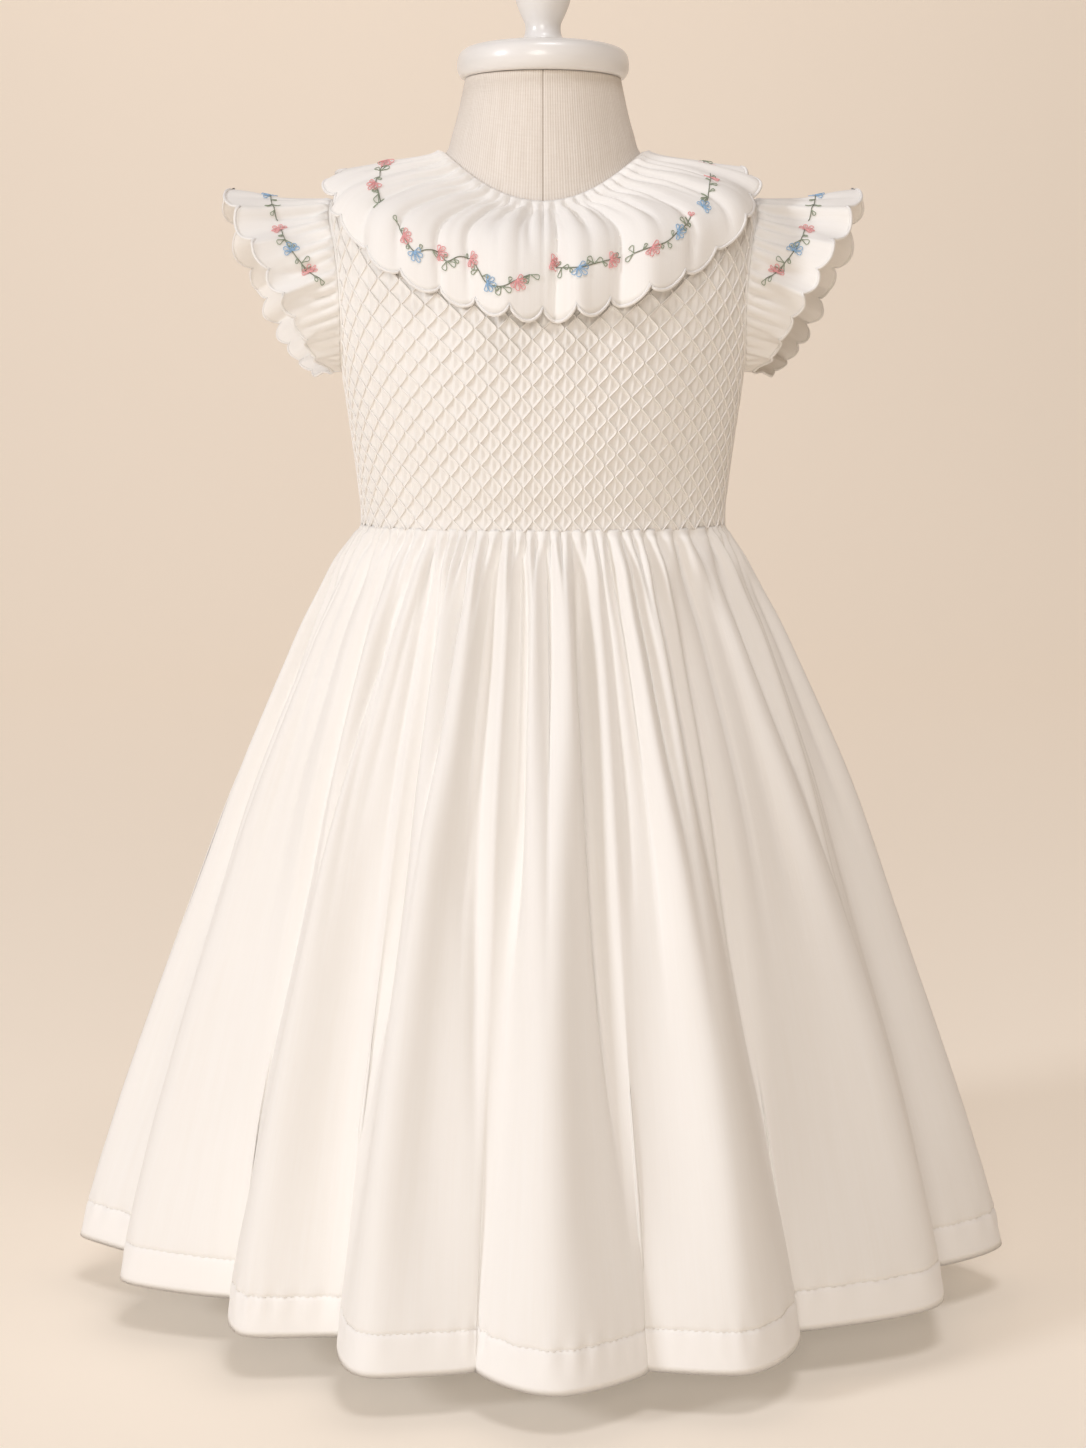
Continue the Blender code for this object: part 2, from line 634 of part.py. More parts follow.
def base_profile():
    """The foot's outline, with its upper edge rounded off."""
    return ((BASE_RADIUS, 0.0), (BASE_RADIUS, BASE_THICK - BASE_BEVEL),
            (BASE_RADIUS - BASE_BEVEL, BASE_THICK), (0.0, BASE_THICK))


def main():
    """Build the dress and the form that it rests on."""
    clear_scene()
    white_cotton = (0.93, 0.91, 0.87)
    linen = (0.78, 0.70, 0.61)
    white_paint = (0.94, 0.94, 0.93)
    cotton = {name: material(name, white_cotton, 0.85) for name in (
        "bodice_front_cotton", "bodice_back_left_cotton", "bodice_back_right_cotton", "placket_cotton",
        "collar_cotton", "sleeve_left_cotton", "sleeve_right_cotton", "skirt_front_cotton", "skirt_back_cotton")}
    bodice_front(cotton["bodice_front_cotton"])
    bodice_back("bodice_back_left", cotton["bodice_back_left_cotton"], 0.0, HALF_TURN / 2)
    bodice_back("bodice_back_right", cotton["bodice_back_right_cotton"], HALF_TURN / 2, HALF_TURN)
    placket(cotton["placket_cotton"])
    for number, place in enumerate(BUTTON_PLACES, 1):
        button(f"button_{number}", material(f"button_{number}_shell", white_paint, 0.3), place)
    collar_ruffle(cotton["collar_cotton"])
    sleeve("sleeve_left", cotton["sleeve_left_cotton"], 1)
    sleeve("sleeve_right", cotton["sleeve_right_cotton"], -1)
    skirt_panel("skirt_front", cotton["skirt_front_cotton"], 0, LEFT_SEAM_FOLD)
    skirt_panel("skirt_back", cotton["skirt_back_cotton"], LEFT_SEAM_FOLD, len(FOLDS))
    form_torso(material("form_linen", linen, 0.9))
    turned("neck_cap", material("cap_paint", white_paint, 0.35), CAP_PROFILE, CAP_BOTTOM)
    turned("finial", material("knob_paint", white_paint, 0.35), KNOB_PROFILE, CAP_BOTTOM + CAP_HEIGHT + SEAM_GAP)
    pole_height = BODY[0].z_side - SEAM_GAP - POLE_BOTTOM
    turned("form_pole", material("pole_paint", white_paint, 0.35),
           ((POLE_RADIUS, 0.0), (POLE_RADIUS, pole_height), (0.0, pole_height)), POLE_BOTTOM)
    turned("form_base", material("base_paint", white_paint, 0.35), base_profile(), 0.0)


main()
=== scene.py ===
import logging
import math
from collections.abc import Callable, Sequence
from dataclasses import dataclass
from enum import Enum
from typing import NamedTuple

import bmesh
import bpy
import numpy as np
from mathutils import Matrix, Vector


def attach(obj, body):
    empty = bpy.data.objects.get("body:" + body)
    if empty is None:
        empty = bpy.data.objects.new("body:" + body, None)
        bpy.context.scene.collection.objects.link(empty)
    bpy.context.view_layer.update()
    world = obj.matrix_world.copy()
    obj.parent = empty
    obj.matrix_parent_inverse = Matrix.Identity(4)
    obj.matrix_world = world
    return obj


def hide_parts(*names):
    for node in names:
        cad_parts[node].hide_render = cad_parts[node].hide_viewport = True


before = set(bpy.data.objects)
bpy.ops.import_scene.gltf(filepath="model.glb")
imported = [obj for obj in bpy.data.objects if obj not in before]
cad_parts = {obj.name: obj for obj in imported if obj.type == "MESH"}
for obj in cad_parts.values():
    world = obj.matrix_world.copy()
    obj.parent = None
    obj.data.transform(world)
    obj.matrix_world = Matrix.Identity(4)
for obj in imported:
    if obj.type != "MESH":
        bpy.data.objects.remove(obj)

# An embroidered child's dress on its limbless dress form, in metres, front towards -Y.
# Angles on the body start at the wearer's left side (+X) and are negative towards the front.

log = logging.getLogger("dress")
Points = np.ndarray
Surface = Callable[[Points, Points], Points]
Colour = tuple[float, float, float]
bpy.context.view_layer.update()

# Heights over the form: the gap below the cloth, the cloth itself, and the gap to a piece sewn beside it.
FORM_GAP = 0.0009
CLOTH = 0.0012
SEAM_GAP = 0.0003
OUTSIDE = FORM_GAP + CLOTH
TURNED_IN = FORM_GAP + 0.0001
MM = 0.001
TURN = 2 * math.pi
UV = "flat"
LINEN_ROUND = 0.045
MERGE = 2e-6
EMPTY = 1e-13


def unit(vectors: Points) -> Points:
    """Scale vectors to a length of one."""
    return vectors / np.maximum(np.linalg.norm(vectors, axis=-1, keepdims=True), 1e-12)


def normals(surface: Surface, a: Points, b: Points, step: float = 1e-3) -> Points:
    """Unit normals of a surface.

    Args:
        surface: gives a point for each pair of places.
        a: the first places.
        b: the second places.
        step: how far on either side of a place the surface is compared.

    Returns:
        The normal at each place.
    """
    along_a = surface(a + step, b) - surface(a - step, b)
    along_b = surface(a, b + step) - surface(a, b - step)
    return unit(np.cross(along_a, along_b))


def read_row(values: Sequence[float], place: Points) -> Points:
    """Read a row of values at real-numbered places on a smooth curve through them.

    Args:
        values: the row.
        place: where to read, in steps along the row.

    Returns:
        The value at each place.
    """
    row = np.asarray(values, float)
    last = len(row) - 1
    place = np.clip(place, 0.0, last)
    start = np.minimum(place.astype(int), last - 1)
    t = place - start
    before, a, b, after = (row[np.clip(start + k, 0, last)] for k in (-1, 0, 1, 2))
    return 0.5 * (2 * a + (b - before) * t + (2 * before - 5 * a + 4 * b - after) * t ** 2
                  + (3 * a - before - 3 * b + after) * t ** 3)


def uneven(number: Points, seed: float = 0.0) -> Points:
    """A repeatable value from -1 to 1 for each whole number."""
    return np.sin(number * 12.9898 + 4.1 + seed * 1.7) * 0.6 + np.sin(number * 3.117 + seed) * 0.4


def smooth_step(low: float, high: float, value: Points) -> Points:
    """Rise gently from 0 at low to 1 at high."""
    t = np.clip((value - low) / (high - low), 0.0, 1.0)
    return t * t * (3 - 2 * t)


def lengths_along(points: Points) -> Points:
    """Distance travelled at each point of a path."""
    steps = np.linalg.norm(np.diff(points, axis=0), axis=-1)
    return np.concatenate(([0.0], np.cumsum(steps)))


def humps(count: Points, power: float) -> Points:
    """Rounded humps, 0 at whole numbers and 1 half-way between."""
    return np.abs(np.sin(math.pi * count)) ** power


def scallop(count: Points) -> Points:
    """A row of scallops, 0 at their ends and 1 at their middles."""
    return humps(count, 0.6)


def flat_places(across: Points, along: Points) -> Points:
    """Pair the places of columns and rows on the flat cloth."""
    return np.stack(np.broadcast_arrays(across, along), axis=-1)


class Trough(NamedTuple):
    """A soft trough in cloth, or a ridge where the depth is below zero.

    top and low are its places across the cloth where it starts and ends; start and end are shares of the
    cloth's length; half_width and depth are in millimetres.
    """
    top: float
    low: float
    start: float
    end: float
    half_width: float
    depth: float


def pressed(troughs: Sequence[Trough], across: Points, down: Points, width: Points) -> Points:
    """How far troughs push a cloth in.

    Args:
        troughs: the troughs.
        across: each point's place across the cloth.
        down: each point's share of the cloth's length.
        width: metres for one step of across.

    Returns:
        The depth in metres at each point.
    """
    total = np.zeros(np.broadcast(across, down).shape)
    for t in troughs:
        span = t.end - t.start
        part = np.clip((down - t.start) / span, 0.0, 1.0)
        line = t.top + (t.low - t.top) * part
        opening = 0.75 + 0.75 * part
        away = (across - line) * width / (t.half_width * MM * opening)
        fade = smooth_step(t.start - 0.02, t.start + 0.2 * span, down)
        fade = fade * (1 - smooth_step(t.end - 0.5 * span, t.end, down))
        total += t.depth * MM * np.exp(-np.abs(away) ** 1.4) * fade
    return total


class Slot(Enum):
    """The material slots."""
    COTTON = "cotton"
    BUTTON = "button_shell"
    LINEN = "form_linen"
    TURNED = "turned_paint"
    STAND = "stand_paint"


class Socket:
    """A value in a material, with arithmetic that adds Math nodes."""

    def __init__(self, board: "Board", socket: bpy.types.NodeSocket) -> None:
        """Wrap a node's output."""
        self.board = board
        self.socket = socket

    def _math(self, operation: str, *values: object) -> "Socket":
        """Add a Math node."""
        return self.board.node("ShaderNodeMath", {"operation": operation}, *values)

    def __add__(self, other: object) -> "Socket":
        """Sum."""
        return self._math("ADD", self, other)

    def __sub__(self, other: object) -> "Socket":
        """Difference."""
        return self._math("SUBTRACT", self, other)

    def __rsub__(self, other: object) -> "Socket":
        """Difference from a number."""
        return self._math("SUBTRACT", other, self)

    def __mul__(self, other: object) -> "Socket":
        """Product."""
        return self._math("MULTIPLY", self, other)

    def __truediv__(self, other: object) -> "Socket":
        """Quotient."""
        return self._math("DIVIDE", self, other)

    def __pow__(self, other: object) -> "Socket":
        """Power."""
        return self._math("POWER", self, other)

    def __gt__(self, other: object) -> "Socket":
        """1 where greater, or else 0."""
        return self._math("GREATER_THAN", self, other)

    def __abs__(self) -> "Socket":
        """Size without sign."""
        return self._math("ABSOLUTE", self)

    def sine(self) -> "Socket":
        """Sine of the value in radians."""
        return self._math("SINE", self)

    __radd__ = __add__
    __rmul__ = __mul__


class Board:
    """A material's node tree, with its Principled shader."""

    def __init__(self, name: str, **fixed: object) -> None:
        """Start a material.

        Args:
            name: the material's name.
            **fixed: constants for the shader's sockets, with _ for a space.
        """
        self.material = bpy.data.materials.new(name)
        self.material.use_nodes = True
        self.tree = self.material.node_tree
        self.shader = self.tree.nodes["Principled BSDF"]
        for socket, value in fixed.items():
            self.feed(socket.replace("_", " "), value)

    def _put(self, target: bpy.types.NodeSocket, value: object) -> None:
        """Link or set a socket.

        Args:
            target: the socket.
            value: a Socket to link, or a constant; a colour may leave out its alpha.
        """
        if isinstance(value, Socket):
            self.tree.links.new(value.socket, target)
        else:
            if isinstance(value, tuple) and len(value) == 3 and target.type == "RGBA":
                value = (*value, 1.0)
            target.default_value = value

    def node(self, kind: str, settings: dict[str, object], *values: object, out: object = 0,
             **named: object) -> Socket:
        """Add a node.

        Args:
            kind: the node's type.
            settings: its settings, set first.
            *values: links or values of its sockets in order.
            out: name or number of the output to return.
            **named: links or values of its sockets by name, with _ for a space.

        Returns:
            The chosen output.
        """
        made = self.tree.nodes.new(kind)
        for setting, value in settings.items():
            setattr(made, setting, value)
        for number, value in enumerate(values):
            self._put(made.inputs[number], value)
        for name, value in named.items():
            self._put(made.inputs[name.replace("_", " ")], value)
        return Socket(self, made.outputs[out])

    def feed(self, name: str, value: object) -> None:
        """Set or link one of the shader's sockets."""
        self._put(self.shader.inputs[name], value)

    def object_place(self) -> Socket:
        """Object coordinates."""
        return self.node("ShaderNodeTexCoord", {}, out="Object")

    def flat_place(self) -> Socket:
        """The cloth's own coordinates in metres."""
        return self.node("ShaderNodeUVMap", {"uv_map": UV})

    def split(self, vector: Socket) -> tuple[Socket, Socket, Socket]:
        """The three parts of a vector."""
        first = self.node("ShaderNodeSeparateXYZ", {}, vector)
        return tuple(Socket(self, first.socket.node.outputs[k]) for k in range(3))

    def noise(self, place: Socket, scale: tuple[float, float, float], detail: float = 2.0) -> Socket:
        """Noise from about 0 to 1, with its own scale along each direction."""
        spread = self.node("ShaderNodeVectorMath", {"operation": "MULTIPLY"}, place, scale)
        return self.node("ShaderNodeTexNoise", {}, Vector=spread, Scale=1.0, Detail=detail)

    def blend(self, factor: object, first: object, second: object) -> Socket:
        """Mix two colours.

        Args:
            factor: the second colour's share.
            first: a colour or a link.
            second: a colour or a link.

        Returns:
            The mixed colour.
        """
        made = self.tree.nodes.new("ShaderNodeMix")
        made.data_type = "RGBA"
        for number, value in ((0, factor), (6, first), (7, second)):
            self._put(made.inputs[number], value)
        return Socket(self, made.outputs[2])

    def bump(self, height: Socket, distance: float, strength: float = 1.0) -> None:
        """Feed a bump of a height from 0 to 1 to the normal."""
        bump = self.node("ShaderNodeBump", {}, Strength=strength, Distance=distance, Height=height)
        self.feed("Normal", bump)


@dataclass(frozen=True)
class CottonLawn:
    """Fine ivory cotton: thin warp streaks, a plain weave and, below a hem's stitches, a denser white."""
    name: str
    light: Colour = (0.945, 0.932, 0.908)
    dark: Colour = (0.900, 0.870, 0.825)
    hem: Colour = (0.972, 0.955, 0.930)
    hem_from: float = 9.0
    hem_cover: float = 0.7
    thread: float = 0.00042
    weave_depth: float = 0.00003

    def material(self) -> bpy.types.Material:
        """Build the material."""
        board = Board(self.name, Roughness=0.78, Sheen_Weight=0.12, Sheen_Roughness=0.5,
                      Specular_IOR_Level=0.25)
        flat = board.flat_place()
        u, v, _ = board.split(flat)
        streak = board.noise(flat, (1500.0, 26.0, 1.0), 3.0)
        slub = board.noise(flat, (330.0, 9.0, 1.0), 2.0)
        cloud = board.noise(board.object_place(), (14.0, 14.0, 9.0), 3.0)
        tone = (streak - 0.5) * 0.55 + (slub - 0.5) * 0.5 + (cloud - 0.5) * 0.6 + 0.42
        colour = board.blend(tone, self.light, self.dark)
        board.feed("Base Color", board.blend((v > self.hem_from) * self.hem_cover, colour, self.hem))
        warp = (u * (TURN / self.thread)).sine()
        weft = (v * (TURN / self.thread)).sine()
        board.bump(warp * weft * 0.35 + streak * 1.3 + slub * 0.6, self.weave_depth, 0.8)
        return board.material


@dataclass(frozen=True)
class Floss:
    """Twisted embroidery thread."""
    name: str
    light: Colour
    dark: Colour
    twist: float = 0.0009
    slope: float = 380.0
    twist_depth: float = 0.00012
    roughness: float = 0.55

    def material(self) -> bpy.types.Material:
        """Build the material."""
        board = Board(self.name, Sheen_Weight=0.25, Sheen_Roughness=0.4, Roughness=self.roughness)
        u, v, _ = board.split(board.flat_place())
        ply = ((v / self.twist + u * self.slope) * TURN).sine() * 0.5 + 0.5
        shade = board.noise(board.object_place(), (420.0, 420.0, 420.0), 2.0)
        board.feed("Base Color", board.blend(ply * 0.35 + shade * 0.5, self.light, self.dark))
        board.bump(ply, self.twist_depth, 0.9)
        return board.material


@dataclass(frozen=True)
class RibbedLinen:
    """Linen-beige cover of the form, with fine ribs, painted shade in the grooves between them, and a little
    slub.
    """
    name: str = "Ribbed linen"
    light: Colour = (0.865, 0.81, 0.745)
    dark: Colour = (0.64, 0.56, 0.475)
    rib: float = 0.00135
    rib_depth: float = 0.00016
    seam: float = LINEN_ROUND * 1.5 * math.pi
    seam_half_width: float = 0.00028
    seam_shade: Colour = (0.36, 0.30, 0.24)

    def material(self) -> bpy.types.Material:
        """Build the material."""
        board = Board(self.name, Roughness=0.9, Sheen_Weight=0.1)
        flat = board.flat_place()
        u, v, _ = board.split(flat)
        wander = board.noise(flat, (60.0, 45.0, 1.0), 3.0)
        rib = (u * (TURN / self.rib) + wander * 1.6).sine() * 0.5 + 0.5
        weft = board.noise(flat, (140.0, 1500.0, 1.0), 2.0)
        slub = board.noise(flat, (700.0, 60.0, 1.0), 3.0)
        # The colour darkens where the ribs' bump is lowest: painted shade in the grooves between the ribs;
        # weft and slub add random tone.
        tone = rib ** 2.0 * 0.42 + (weft - 0.5) * 0.35 + (slub - 0.5) * 0.6 + 0.10
        seam = 1 - (abs(u - self.seam) > self.seam_half_width)
        groove_shaded_ribs = board.blend(tone, self.light, self.dark)
        board.feed("Base Color", board.blend(seam * 0.8, groove_shaded_ribs, self.seam_shade))
        board.bump((1 - rib) * 0.7 + weft * 0.5 + slub * 0.4, self.rib_depth, 0.8)
        return board.material


@dataclass(frozen=True)
class GlossPaint:
    """Brushed white paint, with faint ripples and rubbed tone."""
    name: str
    colour: Colour = (0.90, 0.885, 0.865)
    roughness: float = 0.22
    brush_depth: float = 0.00006

    def material(self) -> bpy.types.Material:
        """Build the material."""
        board = Board(self.name, Coat_Weight=0.35, Coat_Roughness=0.12)
        place = board.object_place()
        brush = board.noise(place, (60.0, 60.0, 520.0), 3.0)
        wear = board.noise(place, (38.0, 38.0, 38.0), 4.0)
        darker = tuple(c * 0.93 for c in self.colour)
        board.feed("Base Color", board.blend(wear * 0.7, self.colour, darker))
        board.feed("Roughness", wear * 0.16 + self.roughness)
        board.bump(brush, self.brush_depth, 0.5)
        return board.material


@dataclass(frozen=True)
class PearlShell:
    """Pearly button shell with soft clouds."""
    name: str = "Pearl button shell"
    cream: Colour = (0.93, 0.90, 0.86)
    silver: Colour = (0.84, 0.86, 0.88)
    rose: Colour = (0.93, 0.86, 0.86)
    cloud_depth: float = 0.00005

    def material(self) -> bpy.types.Material:
        """Build the material."""
        board = Board(self.name, Roughness=0.18, Coat_Weight=0.5, Coat_Roughness=0.08)
        cloud = board.noise(board.object_place(), (260.0, 260.0, 420.0), 4.0)
        first = board.blend(cloud, self.cream, self.silver)
        board.feed("Base Color", board.blend((cloud > 0.56) * 0.35, first, self.rose))
        board.bump(cloud, self.cloud_depth, 0.4)
        return board.material


@dataclass(frozen=True)
class BackdropPaper:
    """Matt beige studio paper."""
    name: str = "Backdrop paper"
    colour: Colour = (0.88, 0.795, 0.69)
    glow: float = 0.24

    def material(self) -> bpy.types.Material:
        """Build the material."""
        board = Board(self.name, Roughness=0.95, Specular_IOR_Level=0.1, Emission_Color=self.colour,
                      Emission_Strength=self.glow)
        cloud = board.noise(board.object_place(), (1.6, 1.6, 1.6), 3.0)
        darker = tuple(c * 0.97 for c in self.colour)
        board.feed("Base Color", board.blend(cloud * 0.5, self.colour, darker))
        return board.material


def grid_object(name: str, points: Points, flat: Points, breaks: Sequence[int] = (),
                thick: float = 0.0, closed: bool = False) -> bpy.types.Object:
    """Make a piece from a grid whose points are moved onto its shape, with a UV map in metres.

    Args:
        name: the object's name.
        points: rows by columns by 3, columns anticlockwise and rows upwards as seen from outside.
        flat: rows by columns by 2, the place of each point on the flat cloth.
        breaks: rows after which the grid is cut, to make several strips.
        thick: the thickness that Solidify gives it, inwards.
        closed: whether points that fall together are merged.

    Returns:
        The object, with its place in its mesh.
    """
    rows, columns = points.shape[:2]
    bm = bmesh.new()
    bmesh.ops.create_grid(bm, x_segments=columns - 1, y_segments=rows - 1, size=1.0)
    mesh = bpy.data.meshes.new(name)
    bm.to_mesh(mesh)
    bm.free()
    mesh.vertices.foreach_set("co", points.astype(np.float32).ravel())
    corners = np.empty(len(mesh.loops), np.int32)
    mesh.loops.foreach_get("vertex_index", corners)
    layer = mesh.uv_layers.new(name=UV)
    layer.data.foreach_set("uv", flat.reshape(-1, 2)[corners].astype(np.float32).ravel())
    if closed or len(breaks):
        bm = bmesh.new()
        bm.from_mesh(mesh)
        if len(breaks):
            cut = set(breaks)
            gone = [face for face in bm.faces if min(v.index for v in face.verts) // columns in cut]
            bmesh.ops.delete(bm, geom=gone, context="FACES")
        bmesh.ops.remove_doubles(bm, verts=bm.verts, dist=MERGE)
        empty = [face for face in bm.faces if face.calc_area() < EMPTY]
        bmesh.ops.delete(bm, geom=empty, context="FACES")
        if not thick and closed:
            bmesh.ops.recalc_face_normals(bm, faces=bm.faces)
        bm.to_mesh(mesh)
        bm.free()
    mesh.shade_smooth()
    made = bpy.data.objects.new(name, mesh)
    bpy.context.collection.objects.link(made)
    if thick:
        wall = made.modifiers.new("Thickness", "SOLIDIFY")
        wall.thickness = thick
        wall.offset = -1.0
    return made


def threads(name: str, paths: Sequence[tuple[Points, Points]], radius: float,
            sides: int = 6) -> bpy.types.Object:
    """Round threads along paths, closed at their ends.

    Args:
        name: the object's name.
        paths: for each thread its points and the surface's normal at each.
        radius: the thread's radius.
        sides: the number of sides.

    Returns:
        One object of all the threads.
    """
    turn = np.linspace(0, TURN, sides + 1)
    rows, flats, breaks, count = [], [], [], 0
    for points, outwards in paths:
        tangent = unit(np.gradient(points, axis=0))
        across = unit(np.cross(tangent, outwards))
        over = unit(np.cross(across, tangent))
        ring = across[:, None] * np.cos(turn)[None, :, None] + over[:, None] * np.sin(turn)[None, :, None]
        tube = points[:, None] + ring * radius
        ends = [np.repeat(points[k][None], sides + 1, axis=0)[None] for k in (0, -1)]
        rows += [ends[0], tube, ends[1]]
        along = lengths_along(points)
        along = np.concatenate((along[:1], along, along[-1:]))
        flats.append(flat_places(turn[None, :] * radius, along[:, None]))
        count += len(points) + 2
        breaks.append(count - 1)
    return grid_object(name, np.concatenate(rows), np.concatenate(flats), breaks[:-1], closed=True)


def turned(name: str, outline: Sequence[tuple[float, float]], bottom: float, steps: int = 72,
           fine: int = 6) -> bpy.types.Object:
    """A piece turned about the upright axis.

    Args:
        name: the object's name.
        outline: radius and height of its outline from its lower edge to the axis, smoothed between.
        bottom: the height of its underside.
        steps: the number of columns round it.
        fine: points for each step of the outline.

    Returns:
        The turned object.
    """
    place = np.linspace(0, len(outline) - 1, (len(outline) - 1) * fine + 1)
    radii = np.maximum(read_row([p[0] for p in outline], place), 0.0)
    heights = read_row([p[1] for p in outline], place)
    radii[-1] = 0.0
    bm = bmesh.new()
    verts = [bm.verts.new((0, 0, bottom + outline[0][1]))]
    verts += [bm.verts.new((r, 0, bottom + z)) for r, z in zip(radii, heights)]
    edges = [bm.edges.new(pair) for pair in zip(verts, verts[1:])]
    bmesh.ops.spin(bm, geom=verts + edges, cent=(0, 0, 0), axis=(0, 0, 1), angle=TURN, steps=steps,
                   use_merge=True)
    return finished(bm, name)


def finished(bm: bmesh.types.BMesh, name: str) -> bpy.types.Object:
    """Merge a closed bmesh's doubles, turn its faces out and make it an object.

    Args:
        bm: the shape, which is freed.
        name: the object's name.

    Returns:
        The object.
    """
    bmesh.ops.remove_doubles(bm, verts=bm.verts, dist=1e-6)
    bmesh.ops.recalc_face_normals(bm, faces=bm.faces)
    mesh = bpy.data.meshes.new(name)
    bm.to_mesh(mesh)
    bm.free()
    mesh.shade_smooth()
    mesh.set_sharp_from_angle(angle=math.radians(40))
    made = bpy.data.objects.new(name, mesh)
    bpy.context.collection.objects.link(made)
    return made


def fit_out(piece: bpy.types.Object, look: bpy.types.Material, slot: Slot, *nodes: str) -> bpy.types.Object:
    """Dress a piece and report it.

    Args:
        piece: the piece.
        look: its material.
        slot: not used.
        *nodes: the solids that it stands for.

    Returns:
        The same piece.
    """
    piece.data.materials.clear()
    piece.data.materials.append(look)
    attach(piece, "root")
    if nodes:
        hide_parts(*nodes)
    faces = sum(len(face.vertices) - 2 for face in piece.data.polygons)
    log.info("%s: %d triangles before modifiers", piece.name, faces)
    return piece


class Ring(NamedTuple):
    """One section of the dress form, with the heights of its side, front and back."""
    name: str
    z_side: float
    z_front: float
    z_back: float
    half_width: float
    depth_front: float
    depth_back: float
    square: float


WAIST, UNDERARM, SHOULDER, NECK_TOP = 2, 5, 8, 12


@dataclass(frozen=True)
class BodyShape:
    """The dress form's surface, read smoothly between its sections."""
    rings: tuple[Ring, ...] = (
        Ring("hip end", 0.3000, 0.3000, 0.3000, 0.0990, 0.0830, 0.0850, 2.2),
        Ring("hip", 0.3600, 0.3600, 0.3600, 0.0975, 0.0805, 0.0820, 2.2),
        Ring("waist", 0.4157, 0.4157, 0.4157, 0.0930, 0.0760, 0.0715, 2.2),
        Ring("ribs", 0.4394, 0.4394, 0.4394, 0.0945, 0.0790, 0.0725, 2.2),
        Ring("lower chest", 0.4656, 0.4656, 0.4656, 0.0978, 0.0825, 0.0745, 2.3),
        Ring("underarm", 0.4959, 0.4959, 0.4959, 0.1018, 0.0850, 0.0765, 2.4),
        Ring("armhole middle", 0.5310, 0.5260, 0.5290, 0.1044, 0.0842, 0.0778, 2.6),
        Ring("upper chest", 0.5600, 0.5450, 0.5530, 0.1062, 0.0798, 0.0770, 2.6),
        Ring("shoulder tip", 0.5835, 0.5580, 0.5710, 0.1058, 0.0730, 0.0715, 2.4),
        Ring("shoulder middle", 0.5965, 0.5670, 0.5855, 0.0830, 0.0610, 0.0590, 2.2),
        Ring("neckline", 0.6055, 0.5755, 0.5985, 0.0540, 0.0485, 0.0455, 2.0),
        Ring("neck", 0.6200, 0.6030, 0.6150, 0.0465, 0.0435, 0.0420, 2.0),
        Ring("neck top", 0.6455, 0.6455, 0.6455, 0.0404, 0.0385, 0.0385, 2.0),
    )
    even_spacing: float = 0.0687
    armhole_half_angle: float = math.radians(24)

    def measure(self, column: str, place: Points) -> Points:
        """One measure of the body at real-numbered rings."""
        return read_row([getattr(ring, column) for ring in self.rings], place)

    def point(self, angle: Points, place: Points) -> Points:
        """Points on the form's surface.

        Args:
            angle: bearings round the form, in radians.
            place: real-numbered rings.

        Returns:
            The points.
        """
        angle, place = np.broadcast_arrays(angle, place)
        c, s = np.cos(angle), np.sin(angle)
        square = self.measure("square", place)
        stretch = (np.abs(c) ** square + np.abs(s) ** square) ** (-1 / square)
        front = s < 0
        depth = np.where(front, self.measure("depth_front", place), self.measure("depth_back", place))
        z_side = self.measure("z_side", place)
        z_far = np.where(front, self.measure("z_front", place), self.measure("z_back", place))
        z = z_side + (z_far - z_side) * s * s
        return np.stack((self.measure("half_width", place) * c * stretch, depth * s * stretch, z), axis=-1)

    def out(self, angle: Points, place: Points, distance: Points) -> Points:
        """Points a distance outside the form."""
        angle, place, distance = np.broadcast_arrays(angle, place, distance)
        return self.point(angle, place) + normals(self.point, angle, place) * distance[..., None]

    def even(self, angle: Points) -> Points:
        """Spread columns evenly round the oval chest."""
        return angle + self.even_spacing * np.sin(2 * angle)

    @property
    def armhole_middle(self) -> float:
        """The height of the armhole's middle."""
        return (self.rings[UNDERARM].z_side + self.rings[SHOULDER].z_side) / 2

    @property
    def armhole_half_height(self) -> float:
        """Half of the armhole's height."""
        return (self.rings[SHOULDER].z_side - self.rings[UNDERARM].z_side) / 2

    def armhole(self, place: Points) -> Points:
        """Half of the armhole's width.

        Args:
            place: real-numbered rings.

        Returns:
            The angle from the side at each ring, 0 outside the armhole.
        """
        rise = (self.measure("z_side", place) - self.armhole_middle) / self.armhole_half_height
        inside = (place > UNDERARM) & (place < SHOULDER)
        return np.where(inside, self.armhole_half_angle * np.sqrt(np.maximum(0.0, 1 - rise * rise)), 0.0)

    def place_at(self, height: Points) -> Points:
        """The ring between underarm and shoulder whose side is at a height."""
        places = np.linspace(UNDERARM, SHOULDER, 600)
        return np.interp(height, self.measure("z_side", places), places)

    def clamp(self, angle: Points, place: Points) -> Points:
        """Stop columns at the side seams and the armholes.

        Args:
            angle: the columns' bearings, all in front or all behind.
            place: the rows' rings.

        Returns:
            The bearings, kept out of the armholes.
        """
        keep = np.maximum(self.armhole(place), SEAM_GAP / 2 / self.measure("depth_front", place))
        side = np.where(np.mean(angle) < 0, -1.0, 1.0)
        near_zero = np.abs(angle) < keep
        near_half = np.abs(angle - side * math.pi) < keep
        return np.where(near_zero, side * keep, np.where(near_half, side * (math.pi - keep), angle))


BODY = BodyShape()


class Fold(NamedTuple):
    """A hanging fold: bearing and reach of its crest and of the valley after it, and the hem's height."""
    name: str
    crest: float
    crest_reach: float
    valley: float
    valley_reach: float
    hem_height: float


